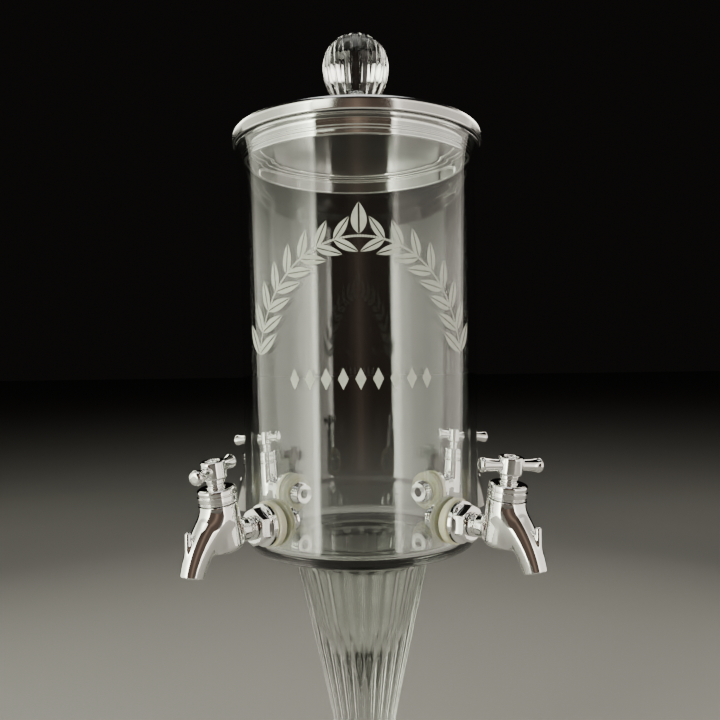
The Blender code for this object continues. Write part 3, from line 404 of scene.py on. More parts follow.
nylonLook = {
    "pale": (0.96, 0.95, 0.75), "deep": (0.91, 0.90, 0.65), "tones": (0.35, 0.65), "roughness": (0.32, 0.5),
    "drift": 180.0, "grain": 2200.0, "relief": (0.15, 0.0002),
    "sockets": {"Subsurface Weight": 0.6, "Subsurface Radius": (1.0, 0.9, 0.6), "Subsurface Scale": 0.0015},
}
frostLook = {
    "pale": (0.90, 0.94, 0.84), "deep": (0.80, 0.85, 0.75), "tones": (0.35, 0.65), "roughness": (0.7, 0.95),
    "drift": 260.0, "grain": 3200.0, "relief": (0.3, 0.0001),
    "cover": (0.43, 0.3),             # the least that a mark covers, and how much more its grain adds
}
rubberLook = {
    "pale": (0.02, 0.02, 0.02), "deep": (0.05, 0.05, 0.05), "tones": None, "roughness": (0.55, 0.8),
    "drift": 300.0, "grain": 3000.0, "relief": (0.2, 0.0001),
}


def mouldedMaterial(name, look):
    # The mould's drift shades the colour between two tones; its grain gives roughness and relief.
    made, tree, shader = newMaterial(name)
    marks = useGroup(tree, mould, Drift=look["drift"], Grain=look["grain"])
    share = mapped(tree, marks["Drift"], *look["tones"]) if look["tones"] else marks["Drift"]
    feed(tree, shader, {"Base Color": mixedColour(tree, share, look["pale"], look["deep"]),
                        "Roughness": mapped(tree, marks["Grain"], 0.3, 0.7, *look["roughness"], False),
                        "Normal": relief(tree, marks["Grain"], *look["relief"]), **look.get("sockets", {})})
    if "cover" in look:
        least, more = look["cover"]
        feed(tree, shader, {"Alpha": calc(tree, "MULTIPLY_ADD", marks["Grain"], more, least)})
    return made


handling, mould = handlingGroup(), mouldGroup()
chrome = metalMaterial("polishedChrome")
# The liner's plate, with its underside and its rim, lies above this height. There the colour is painted
# shade, for the shaded hollow under the cap and the gap at its rim.
linerChrome = metalMaterial("linerChrome", paintedShadeAbove=0.42425)
capChrome = metalMaterial("capChrome", dict(chromeLook, roughness=capRoughness))
steel = metalMaterial("zincSteel", steelLook)
glass, knobGlass = glassMaterial("clearGlass"), glassMaterial("knobGlass")
stemGlass = glassMaterial("stemGlass", stemLook)
nylon, frost = mouldedMaterial("naturalNylon", nylonLook), mouldedMaterial("etchedFrost", frostLook)
rubber = mouldedMaterial("blackRubber", rubberLook)
print("finishes made")


# Pedestal

pedestalFacts = {
    "height": 0.2047, "footRadius": 0.072, "footEdge": 0.0055, "footShoulder": 0.0020, "footRim": 0.010,
    "dish": 0.0035, "waistRadius": 0.0140, "waistHeight": 0.082, "coneTop": 0.0397, "conePower": 1.12,
    "plainBand": 0.0055, "flutes": 24, "fluteDepth": 0.0019, "fluteFade": 0.030, "fluteEnd": 0.0038,
    "wall": 0.0055, "inset": 0.0068, "hollowDepth": 0.082, "hollowTip": 0.045, "sidesPerFlute": 14,
}


def coneRadius(f, z):
    # Radius above the waist: grows with a power of the share of height climbed.
    rise = clamped((z - f.waistHeight) / (f.height - f.waistHeight))
    return f.waistRadius + (f.coneTop - f.waistRadius) * rise ** f.conePower


def pedestalSurface(f):
    rim, shoulder, mouth = f.footRadius - f.footRim, f.footRadius - f.footShoulder, f.coneTop - f.wall
    dish = roundedProfile([(0.0, f.dish, 0.0), (0.6 * rim, 0.8 * f.dish, 0.01), (rim, 0.0, 0.0008),
                           (f.footRadius - 0.0002, 0.0, 0.0014), (f.footRadius, f.footEdge - 0.0004, 0.0016),
                           (shoulder, f.footEdge, 0.0)])
    part = np.linspace(0.0, 1.0, 50)[1:]
    footTop = rings(f.waistRadius + (shoulder - f.waistRadius) * (1.0 - part) ** 1.25,
                    f.footEdge + (f.waistHeight - f.footEdge) * part ** 2.4)
    z = np.linspace(f.waistHeight, f.height - 0.0008, 110)[1:]
    cone = rings(coneRadius(f, z), z)
    rimTop = roundedProfile([(*cone[-1], 0.0), (f.coneTop, f.height, 0.0006), (mouth, f.height, 0.0006),
                             (mouth, f.height - 0.003, 0.0)])
    toe = f.height - f.hollowDepth
    z = toe + (f.height - 0.006 - toe) * np.cos(np.radians(np.linspace(0.0, 90.0, 70)))
    share = clamped((z - toe) / f.hollowTip)
    inner = rings((coneRadius(f, z) - f.inset) * np.sin(0.5 * np.pi * share), z)
    inner[-1][0] = 0.0
    outerEnd = len(dish) + len(footTop) + len(cone)

    def flutes(angle, r, z):
        # Hollow scallops between sharp ridges; each ends in a round arc under the plain band.
        across = 2.0 * np.mod(f.flutes * angle / (2.0 * np.pi), 1.0) - 1.0
        grow = clamped((z - f.waistHeight) / f.fluteFade)
        depth = f.fluteDepth * grow * grow * (3.0 - 2.0 * grow) * r / f.coneTop
        over = np.clip((z - (f.height - f.plainBand - f.fluteEnd)) / f.fluteEnd, 0.0, 2.0)
        dip = np.maximum(depth * (1.0 - across ** 2) - f.fluteDepth * over ** 2, 0.0)
        return -dip * (np.arange(len(r)) < outerEnd)[:, None]

    return turnedSurface(np.concatenate([dish, footTop, cone[:-1], rimTop, inner]),
                         f.flutes * f.sidesPerFlute, swell=flutes)


addPiece("pedestal_glass", pedestalSurface(named(pedestalFacts)), stemGlass, "fountain", "clear_glass",
         "pedestal", sharp=30.0)
print("pedestal made")


# Reservoir

reservoirFacts = {
    "base": 0.2050, "radius": 0.065, "wall": 0.0035, "floor": 0.0055, "lip": 0.4240, "heel": 0.009,
    "innerHeel": 0.0035, "flare": 0.0032, "flareHeight": 0.018, "flarePower": 1.8, "lipWall": 0.0032,
    "holeRadius": 0.0071, "barHalf": 0.010,
}


def reservoirSurface(f):
    inner, floor, flareBase = f.radius - f.wall, f.base + f.floor, f.lip - f.flareHeight
    z = flareBase + (f.flareHeight - 0.5 * f.lipWall) * np.linspace(0.0, 1.0, 26)
    share = (z - flareBase) / f.flareHeight
    out = f.flare * share ** f.flarePower
    innerFlare, outerFlare = rings(inner + out + (f.wall - f.lipWall) * share, z), rings(f.radius + out, z)
    middle = 0.5 * (innerFlare[-1] + outerFlare[-1])
    half = 0.5 * (outerFlare[-1][0] - innerFlare[-1][0])
    bend = np.radians(np.linspace(180.0, 0.0, 17))[1:-1]
    lip = rings(middle[0] + half * np.cos(bend), middle[1] + half * np.sin(bend))
    up = np.linspace(floor + 0.010, flareBase - 0.001, 100)
    start = roundedProfile([(0.0, floor, 0.0), (inner, floor, f.innerHeel), (inner, up[0], 0.0)])
    heel = roundedProfile([(f.radius, up[0], 0.0), (f.radius, f.base, f.heel), (0.0, f.base, 0.0)], step=6.0)
    floorRings = rings(np.linspace(0.0, inner - f.innerHeel, 24)[1:-1], floor)
    baseRings = rings(np.linspace(f.radius - f.heel - 0.0005, 0.0, 24)[1:-1], f.base)
    return turnedSurface(np.concatenate([start[:1], floorRings, start[1:], rings(inner, up[1:]), innerFlare,
                                         lip, outerFlare[::-1], rings(f.radius, up[:0:-1]), heel[:-1],
                                         baseRings, heel[-1:]]), 288)


def cutTapHoles(mesh, f):
    # A round bar through the wall at each tap takes the holes out.
    wall = addObject("reservoirWall", mesh)
    bar = layAlongX(turnedSurface([(0.0, f.barHalf), (f.holeRadius, f.barHalf), (f.holeRadius, -f.barHalf),
                                   (0.0, -f.barHalf)], 64))
    bars = joined(*(placeTap(bar, index, f.radius) for index in range(len(tapFacts["angles"]))))
    cutter = addObject("holeBars", skinMesh("holeBars", bars))
    cut = wall.modifiers.new("Holes", "BOOLEAN")
    cut.operation, cut.solver, cut.object = "DIFFERENCE", "EXACT", cutter
    bpy.context.view_layer.update()
    graph = bpy.context.evaluated_depsgraph_get()
    holed = bpy.data.meshes.new_from_object(wall.evaluated_get(graph))
    bpy.data.objects.remove(wall)
    bpy.data.objects.remove(cutter)
    holed.name = "reservoir_glass"
    holed.shade_smooth()
    holed.set_sharp_from_angle(angle=math.radians(38.0))
    return holed


size = named(reservoirFacts)
addPiece("reservoir_glass", cutTapHoles(skinMesh("reservoirUncut", reservoirSurface(size)), size), glass,
         "fountain", "clear_glass", "reservoir")
print("reservoir made")


# Etched ornament

etchedFacts = {
    "radius": 0.06506,       # just proud of the glass
    "thickness": 0.00002,
    "archCentre": 0.289, "archWidth": 0.061, "archHeight": 0.077, "archEnd": 76.0,
    "pairs": 8, "leafLength": 0.0172, "leafWidth": 0.0031, "leafAngle": 41.0, "midrib": 0.12,
    "vine": 0.00055, "vineSteps": 121,
    "bloomHeight": 0.3745, "bloomLength": 0.0150,
    "rowHeight": 0.2985, "rowCount": 9, "rowStep": 0.0084, "lozenge": (0.0026, 0.0105),
}


def flatMarks(f, base, heading, length, width, shape, rows=22, loops=16):
    # point(t, a) = base + heading * length * t + sideways * width * shape(t) * cos a, raised by
    # thickness * sin a, for all marks at once. (u, v) is then wrapped round the glass. Both tips close.
    base, heading = np.asarray(base, float), np.asarray(heading, float)[:, None, None]
    length, width = (np.broadcast_to(np.asarray(item, float), len(base))[:, None, None]
                     for item in (length, width))
    t = np.linspace(0.0, 1.0, rows)[None, :, None]
    a = (2.0 * np.pi * np.arange(loops) / loops)[None, None, :]
    middle, half = shape(t)
    along, across = length * t, width * (middle + half * np.cos(a))
    u = base[:, 0, None, None] + along * np.sin(heading) + across * np.cos(heading)
    v = base[:, 1, None, None] + along * np.cos(heading) - across * np.sin(heading)
    radius = f.radius + f.thickness * np.sin(a)
    points = np.stack([radius * np.sin(u / f.radius), -radius * np.cos(u / f.radius), v], -1)
    tips = points[:, [0, -1]].mean(2)
    points = points[:, 1:-1].reshape(len(base), -1, 3)
    size = points.shape[1] + 2
    points = np.concatenate([points, tips], 1).reshape(-1, 3)
    start = (size * np.arange(len(base)))[:, None, None]
    fans = np.concatenate([fan(size - 2, 0, loops, 0), fan(size - 1, (rows - 3) * loops, loops, -1)])
    return (points, (gridFaces(rows - 2, loops)[None] + start).reshape(-1, 4),
            (fans[None] + start).reshape(-1, 3))


def leafHalf(side, midrib):
    # Half of a leaf, beside its clear midrib; widest a little below the middle.
    def shape(t):
        full = 3.6 * clamped(t) ** 0.9 * (1.0 - t) * (1.1 - 0.3 * t)
        inner = np.minimum(midrib, 0.5 * full)
        return side * 0.5 * (full + inner), 0.5 * (full - inner)
    return shape


def ornamentSurface(f):
    # A garland of leaf pairs up each side of an arch, a bud where they meet, a row of lozenges below.
    def onArch(turn):
        return rings(f.archWidth * np.sin(turn), f.archCentre + f.archHeight * np.cos(turn))

    beta = np.radians(f.archEnd) * (1.0 - (np.arange(f.pairs) + 0.3) / (f.pairs + 0.6))
    beta = np.concatenate([-beta, beta])
    growing = np.sign(beta)
    tangent = np.arctan2(-growing * f.archWidth * np.cos(beta), growing * f.archHeight * np.sin(beta))
    size = 0.72 + 0.28 * np.abs(beta) / beta.max()
    surfaces = []
    for out in (-1.0, 1.0):
        heading = tangent + out * math.radians(f.leafAngle)
        for side in (-1.0, 1.0):
            surfaces.append(flatMarks(f, onArch(beta), heading, size * f.leafLength, size * f.leafWidth,
                                      leafHalf(side, f.midrib)))
    vine = onArch(np.linspace(-beta.max(), beta.max(), f.vineSteps))
    step = np.diff(vine, axis=0)
    surfaces.append(flatMarks(f, vine[:-1], np.arctan2(step[:, 0], step[:, 1]),
                              0.94 * np.linalg.norm(step, axis=1), f.vine,
                              lambda t: (0.0, clamped(12.0 * t * (1.0 - t))), 8, 8))
    for side in (-1.0, 1.0):
        surfaces.append(flatMarks(f, [(0.0, f.bloomHeight - 0.5 * f.bloomLength)], [0.0], f.bloomLength,
                                  1.3 * f.leafWidth, leafHalf(side, f.midrib)))
    wide, tall = f.lozenge
    row = rings(f.rowStep * (np.arange(f.rowCount) - 0.5 * (f.rowCount - 1)), f.rowHeight - 0.5 * tall)
    surfaces.append(flatMarks(f, row, np.zeros(len(row)), tall, wide,
                              lambda t: (0.0, 1.0 - np.abs(2.0 * t - 1.0)), 31))
    return joined(*surfaces)


addPiece("etched_ornament", ornamentSurface(named(etchedFacts)), frost, "fountain", "clear_glass")
print("ornament made")


# Lid

lidFacts = {
    "bottom": 0.4243, "bandRadius": 0.0685, "bandTop": 0.4312, "crown": 0.4362, "crownRadius": 0.0165,
    "shoulder": 0.0672, "shoulderDrop": 0.00274, "wall": 0.0012, "bandWall": 0.0015, "bore": 0.0033,
    "plate": 0.0010, "plateGap": 0.0003, "collarBottom": 0.4146, "collarRadius": 0.06177,
    "collarStep": 0.0004, "stepHeight": 0.4193, "collarWall": 0.0018, "grooveHeight": 0.4173,
    "groove": 0.0006, "bead": 0.0541, "beadRadius": 0.0008, "innerStep": 0.4213, "innerStepDepth": 0.0004,
}


def capSurface(f):
    share = np.linspace(0.0, 1.0, 60)
    r = f.crownRadius + (f.shoulder - f.crownRadius) * share
    top = f.bandTop + (f.crown - f.bandTop) * np.sin(0.5 * np.pi * (1.0 - share))
    bend = np.radians(np.linspace(0.0, 90.0, 13))
    shoulder = rings(f.shoulder + (f.bandRadius - f.shoulder) * np.sin(bend),
                     f.bandTop - f.shoulderDrop * (1.0 - np.cos(bend)))
    dome, inside = np.concatenate([rings(r, top)[1:-1], shoulder]), f.bandRadius - f.bandWall
    under = rings(r - 0.0006, top - f.wall)[1:-3][::-1]
    edge = roundedProfile([(*dome[-1], 0.0), (f.bandRadius, f.bottom + 0.0005, 0.0012),
                           (f.bandRadius - 0.0006, f.bottom, 0.0002), (inside, f.bottom, 0.0003),
                           (inside, f.bandTop - 0.0030, 0.0)])
    profile = np.concatenate([[(f.bore, f.crown)], dome, edge[1:], under, [(f.bore, f.crown - f.wall)]])
    return turnedSurface(profile, 288, closed=True)


def linerSurface(f):
    rim, upper = f.bandRadius - f.bandWall - f.plateGap, f.collarRadius + f.collarStep
    outer, inner = f.collarRadius, f.collarRadius - f.collarWall
    plateTop, recess = f.bottom + f.plate, inner - f.innerStepDepth
    bend = np.radians(np.linspace(0.0, 180.0, 15))
    bead = rings(f.bead + f.beadRadius * np.cos(bend), f.bottom - f.beadRadius * np.sin(bend))
    profile = roundedProfile([(0.0, plateTop, 0.0), (rim, plateTop, 0.0003), (rim, f.bottom, 0.0002),
                              (upper, f.bottom, 0.0004), (upper, f.stepHeight, 0.0003),
                              (outer, f.stepHeight - 0.0004, 0.0003),
                              (outer, f.grooveHeight + f.groove, 0.0003),
                              (outer - f.groove, f.grooveHeight, 0.0003),
                              (outer, f.grooveHeight - f.groove, 0.0004), (outer, f.collarBottom, 0.0008),
                              (inner, f.collarBottom, 0.0008), (inner, f.innerStep, 0.0003),
                              (recess, f.innerStep + 0.0004, 0.0003), (recess, f.bottom, 0.0006),
                              (f.bead + 0.002, f.bottom, 0.0)])
    return turnedSurface(np.concatenate([profile, bead, [(0.0, f.bottom)]]), 288)


for part, surface, material in (("cap", capSurface, capChrome), ("liner", linerSurface, linerChrome)):
    addPiece(f"lid_{part}_chrome", surface(named(lidFacts)), material, "lid", "polished_chrome",
             f"lid_{part}")
print("lid made")


# Knob

knobFacts = {
    "neck": 0.4506, "centre": 0.4710, "radius": 0.0183, "upper": 0.0171, "lower": 0.0253, "ribs": 18,
    "ribDepth": 0.0006, "ribFade": 1.25, "stub": 0.0086, "stubBottom": 0.4458, "bore": 0.0033,
    "boreTop": 0.4578, "ferruleBase": 0.4365, "ferruleTop": 0.4503, "ferruleRadii": (0.0150, 0.0112, 0.0125),
    "ferruleGap": 0.0003, "studRadius": 0.0030, "studBottom": 0.4282, "studTop": 0.4575, "studPitch": 0.0010,
    "threadDepth": 0.0004,
}


def knobSurface(f):
    start = -math.asin((f.centre - f.neck) / f.lower)
    bend = np.linspace(start, 0.5 * math.pi, 90)
    egg = rings(f.radius * np.cos(bend),
                f.centre + np.where(np.sin(bend) > 0.0, f.upper, f.lower) * np.sin(bend))
    egg[-1][0] = 0.0
    foot = roundedProfile([(0.0, f.boreTop, 0.0), (f.bore, f.boreTop, 0.0003), (f.bore, f.stubBottom, 0.0002),
                           (f.stub, f.stubBottom, 0.0006), (f.stub, f.neck, 0.0003), (*egg[0], 0.0)])
    first = len(foot) - 2

    def ribs(angle, r, z):
        # Hollow scallops between fine ridges that run from the neck to the crown.
        across = 2.0 * np.mod(f.ribs * angle / (2.0 * np.pi), 1.0) - 1.0
        onEgg = (np.arange(len(r)) >= first)[:, None]
        return -f.ribDepth * (1.0 - across ** 2) * (r / f.radius) ** f.ribFade * onEgg

    return turnedSurface(np.concatenate([foot[:-1], egg]), f.ribs * 16, swell=ribs)


def ferruleSurface(f):
    base, waist, top = f.ferruleRadii
    low, high, socket, seat = f.ferruleBase, f.ferruleTop, f.stub + f.ferruleGap, f.stubBottom - f.ferruleGap
    return turnedRing([(socket, high, 0.0003), (top, high, 0.0010), (top - 0.0001, high - 0.0022, 0.0016),
                       (waist, high - 0.0060, 0.0040), (waist + 0.0003, low + 0.0045, 0.0030),
                       (waist + 0.0022, low + 0.0026, 0.0016), (base - 0.0008, low + 0.0020, 0.0008),
                       (base, low + 0.0014, 0.0006), (base, low, 0.0003), (f.bore, low, 0.0002),
                       (f.bore, seat, 0.0), (socket, seat, 0.0)], 192)


def threadCut(angle, z, fromEnd, pitch, depth):
    # depth * |saw(z / pitch - angle / full turn)| is one long helix. It is cut deeper close to an end.
    saw = np.abs(2.0 * np.mod(z / pitch - angle / (2.0 * np.pi), 1.0) - 1.0)
    return depth * saw + depth * (1.0 - clamped(fromEnd / pitch))


def studSurface(f, rowsPerTurn=10):
    low, high = f.studBottom, f.studTop
    z = np.linspace(high, low, int(rowsPerTurn * (high - low) / f.studPitch))

    def thread(angle, r, z):
        return -threadCut(angle, z, np.minimum(z - low, high - z), f.studPitch, f.threadDepth)

    return turnedSurface(np.concatenate([[(0.0, high)], rings(f.studRadius, z), [(0.0, low)]]), 48,
                         swell=thread)


size = named(knobFacts)
addPiece("knob_pressed", knobSurface(size), knobGlass, "lid", "knob_glass", "knob", sharp=60.0)
addPiece("knob_ferrule_chrome", ferruleSurface(size), chrome, "lid", "polished_chrome", "knob_ferrule")
addPiece("knob_stud_threaded", studSurface(size), steel, "lid", "zinc_steel", "knob_stud")
print("knob made")


# Taps

castFacts = {
    "radius": 0.0093, "top": 0.0152, "bottom": 0.0076, "rounding": 0.0028, "chamber": 0.0063,
    "chamberFloor": 0.0040, "spoutReach": 0.0171, "spoutDrop": 0.0172, "spoutSpring": 0.0085,
    "spoutRoot": 0.0086, "spoutMouth": 0.00576, "mouthBore": 0.0039, "mouthDepth": 0.0024, "waterway": 0.0027,
    "waterwayLength": 0.009, "lugX": 0.0188, "lugTop": 0.0040, "lugBottom": -0.0088, "lugRadius": 0.0014,
    "lugTaper": 0.012, "neckRoot": 0.0078, "neck": 0.0059, "neckEnd": -0.0138, "groove": 0.0047,
    "collar": (-0.0171, -0.0151, 0.0062), "tail": (0.0042, -0.0221), "blend": 0.0022, "cell": 0.00042,
    "low": (-0.0235, -0.0112, -0.0205), "high": (0.0240, 0.0112, 0.0170),    # box that holds the casting
}


def smoothMin(a, b, width):
    # The lesser of two fields, rounded over where they are within a width of each other.
    h = clamped(0.5 + 0.5 * (b - a) / width)
    return b * (1.0 - h) + a * h - width * h * (1.0 - h)


def smoothMax(a, b, width):
    return -smoothMin(-a, -b, width)


def rodField(radial, along, radius, low, high, rounding):
    # Distance to a round bar with rounded rims.
    side = radial - (radius - rounding)
    end = np.abs(along - 0.5 * (low + high)) - (0.5 * (high - low) - rounding)
    outside = np.hypot(np.maximum(side, 0.0), np.maximum(end, 0.0))
    return outside + np.minimum(np.maximum(side, end), 0.0) - rounding


def spoutLine(f, share):
    # A cubic curve in the XZ plane from the barrel to the mouth, and its slope.
    points = np.array([(0.12 * f.spoutReach, f.spoutSpring), (0.50 * f.spoutReach, 0.18 * f.spoutSpring),
                       (0.84 * f.spoutReach, -0.35 * f.spoutDrop), (f.spoutReach, -f.spoutDrop)])
    back = 1.0 - share
    weights = (back ** 3, 3.0 * back ** 2 * share, 3.0 * back * share ** 2, share ** 3)
    slopes = (3.0 * back ** 2, 6.0 * back * share, 3.0 * share ** 2)
    return ([sum(w * p[i] for w, p in zip(weights, points)) for i in (0, 1)],
            [sum(w * s[i] for w, s in zip(slopes, np.diff(points, axis=0))) for i in (0, 1)])


def spoutField(f, x, y, z):
    # Distance to the curve less a radius that narrows along it. The nearest place on the curve is
    # the best of a few guesses, then moved along by the slope.
    guess = np.linspace(0.0, 1.1, 12)
    share, best = np.zeros_like(x), np.full_like(x, np.inf)
    for s, px, pz in zip(guess, *spoutLine(f, guess)[0]):
        gap = (x - px) ** 2 + (z - pz) ** 2
        closer = gap < best
        share[closer], best[closer] = s, gap[closer]
    for _ in range(4):
        (px, pz), (dx, dz) = spoutLine(f, share)
        share = np.clip(share + ((x - px) * dx + (z - pz) * dz) / (dx * dx + dz * dz), 0.0, 1.12)
    (px, pz), _ = spoutLine(f, share)
    radius = f.spoutMouth + (f.spoutRoot - f.spoutMouth) * clamped(1.0 - share) ** 1.2
    return np.sqrt((x - px) ** 2 + y ** 2 + (z - pz) ** 2) - radius


def tapBodyField(x, y, z, f=named(castFacts)):
    # Barrel, spout, lug, neck and tail run into each other; the bores are taken out.
    c, s = math.cos(math.radians(tapFacts["lean"])), math.sin(math.radians(tapFacts["lean"]))
    barrelX, barrelZ = c * x - s * z, s * x + c * z
    fromAxis, ringed = np.hypot(barrelX, y), np.hypot(y, z)
    barrel = rodField(fromAxis, barrelZ, f.radius, -f.bottom, f.top + 0.01, f.rounding)
    lug = rodField(np.hypot(x - f.lugX, y), z, f.lugRadius + f.lugTaper * (f.lugTop - z), f.lugBottom,
                   f.lugTop, 0.0011)
    share = clamped(x / f.neckEnd)
    neckRadius = f.neck + (f.neckRoot - f.neck) * (1.0 - share) ** 1.6
    neck = smoothMax(ringed - neckRadius, np.maximum(f.neckEnd - x, x), 0.0009)
    stem = rodField(ringed, x, f.groove, f.collar[0], 0.0, 0.0002)
    collar = rodField(ringed, x, f.collar[2], f.collar[0], f.collar[1], 0.0004)
    body = smoothMin(barrel, spoutField(f, x, y, z), f.blend)
    body = smoothMin(smoothMin(body, lug, 0.0010), neck, 0.0016)
    body = smoothMin(body, smoothMin(stem, collar, 0.0004), 0.0004)
    body = np.minimum(body, rodField(ringed, x, f.tail[0], f.tail[1], 0.0, 0.0002))
    body = smoothMax(body, barrelZ - f.top, 0.0005)
    (tipX, tipZ), (runX, runZ) = spoutLine(f, 1.0)
    length = math.hypot(runX, runZ)
    runX, runZ = runX / length, runZ / length
    along = (x - tipX) * runX + (z - tipZ) * runZ
    off = np.hypot((x - tipX) * runZ - (z - tipZ) * runX, y)
    body = smoothMax(body, along, 0.0005)
    for hollow, width in ((np.maximum(off - f.mouthBore, -f.mouthDepth - along), 0.0004),
                          (np.maximum(off - f.waterway, -f.waterwayLength - along), 0.0004),
                          (np.maximum(fromAxis - f.chamber, -f.chamberFloor - barrelZ), 0.0003)):
        body = smoothMax(body, -hollow, width)
    return body


handleFacts = {
    "bottom": 0.0273, "top": 0.0356, "radius": 0.0059, "rounding": 0.0006, "half": 0.01636, "dome": 0.0022,
    "root": 0.0026, "end": 0.0036, "endLength": 0.0016, "wellRadius": 0.0035, "wellFloor": 0.0339,
    "socket": 0.0033, "socketTop": 0.0327, "cell": 0.00036,
    "low": (-0.0175, -0.0070, 0.0262), "high": (0.0175, 0.0070, 0.0368),     # box that holds the casting
}


def handleField(x, y, z, f=named(handleFacts)):
    # A round hub with a bar through it. The bar's radius grows towards its domed ends.
    fromAxis, out = np.hypot(x, y), np.abs(x)
    hub = rodField(fromAxis, z, f.radius, f.bottom, f.top, f.rounding)
    grow = clamped((out - f.radius) / (f.half - f.radius - f.endLength))
    radius = f.root + (f.end - f.root) * (0.25 * grow + 0.75 * grow ** 3)
    bar = smoothMax(np.hypot(y, z - 0.5 * (f.bottom + f.top)) - radius, out - f.half, f.dome)
    well = np.maximum(fromAxis - f.wellRadius, f.wellFloor - z)
    socket = np.maximum(fromAxis - f.socket, z - f.socketTop)
    return smoothMax(smoothMax(smoothMin(hub, bar, 0.0005), -well, 0.0004), -socket, 0.0002)


fittingFacts = {
    "bonnetSeat": 0.0155, "bonnetTop": 0.0229, "bonnetRadius": 0.00935, "bonnetBore": 0.0047,
    "spigot": 0.0060, "bonnetGroove": 0.0006, "spigotDepth": 0.0014, "bonnetRound": 0.0021, "edge": 0.0002,
    "spindle": 0.0044, "spindleNeck": 0.0038, "plug": 0.0060, "plugTop": 0.0119, "plugFoot": -0.0037,
    "stub": 0.0030, "neckTop": 0.0270, "stubTop": 0.0324,
    "screwHead": 0.0032, "screwSeat": 0.0342, "screwTop": 0.0355, "screwRadius": 0.0015, "screwTip": 0.0290,
    "crossHalf": 0.0019, "crossDepth": 0.0006, "crossSlim": 3.2,
}


def bonnetSurface(f):
    # A cap with a rounded top edge and two grooves, over a spigot.
    seat, top, bore, edge, radius = f.bonnetSeat, f.bonnetTop, f.bonnetBore, f.edge, f.bonnetRadius
    side, groove, foot = radius - edge, radius - f.bonnetGroove, seat - f.spigotDepth
    return turnedRing([(bore, top, edge), (side, top, f.bonnetRound), (side, top - 0.0027, edge),
                       (groove, top - 0.0030, edge), (groove, top - 0.0033, edge),
                       (radius, top - 0.0036, edge), (radius, seat + 0.0017, edge),
                       (groove, seat + 0.0014, edge), (groove, seat + 0.0011, edge),
                       (side, seat + 0.0008, edge), (side, seat + 0.0004, edge),
                       (radius - 0.0006, seat, edge), (f.spigot, seat, 0.0), (f.spigot, foot, edge),
                       (bore, foot, edge)], 144)


def spindleSurface(f):
    return turnedSurface(roundedProfile([
        (0.0, f.stubTop, 0.0), (f.stub, f.stubTop, f.edge), (f.stub, f.neckTop, 0.0),
        (f.spindle, f.neckTop, 0.0003), (f.spindle, f.neckTop - 0.0018, 0.0003),
        (f.spindleNeck, f.neckTop - 0.0022, 0.0003), (f.spindleNeck, f.bonnetTop + 0.0009, 0.0003),
        (f.spindle, f.bonnetTop + 0.0005, 0.0003), (f.spindle, f.plugTop, f.edge),
        (f.plug, f.plugTop, 0.0003), (f.plug, f.plugFoot, 0.0003), (0.0, f.plugFoot, 0.0)]), 96)


def screwSurface(f):
    # A domed head with a crossed recess, over a plain shank.
    dome, rimHeight = np.radians(np.linspace(90.0, 0.0, 14)), f.screwSeat + 0.0005
    head = rings(f.screwHead * np.cos(dome) ** 0.8, rimHeight + (f.screwTop - rimHeight) * np.sin(dome))
    head[0][0] = 0.0
    r = np.linspace(0.0, 0.0020, 14)[1:]
    crown = rings(r, f.screwTop - 0.00012 * (r / 0.002) ** 2)
    shank = roundedProfile([(f.screwHead, f.screwSeat + 0.0004, 0.0), (f.screwHead, f.screwSeat, f.edge),
                            (f.screwRadius, f.screwSeat, 0.0), (f.screwRadius, f.screwTip, 0.0003),
                            (0.0, f.screwTip, 0.0)])
    profile = np.concatenate([head[:1], crown, head[head[:, 0] > 0.0021], shank])
    points, quads, tris = turnedSurface(profile, 96)
    x, y, z = np.abs(points).T
    arm = np.minimum(np.maximum(x, f.crossSlim * y), np.maximum(y, f.crossSlim * x))
    inside = clamped((f.crossHalf - arm) / 0.0003) * (z > f.screwTop - 0.0004)
    return points - f.crossDepth * inside[:, None] * (0.0, 0.0, 1.0), quads, tris


shankFacts = {
    "end": 0.0500, "flangeInner": 0.0682, "flangeOuter": 0.0712, "hexFace": 0.0768, "flange": 0.0107,
    "hexWidth": 0.0166, "chamferSlope": 1.9, "thread": 0.0065, "pitch": 0.0015, "depth": 0.0006,
    "bore": 0.0027, "socket": 0.0045, "socketDepth": 0.0053,
}


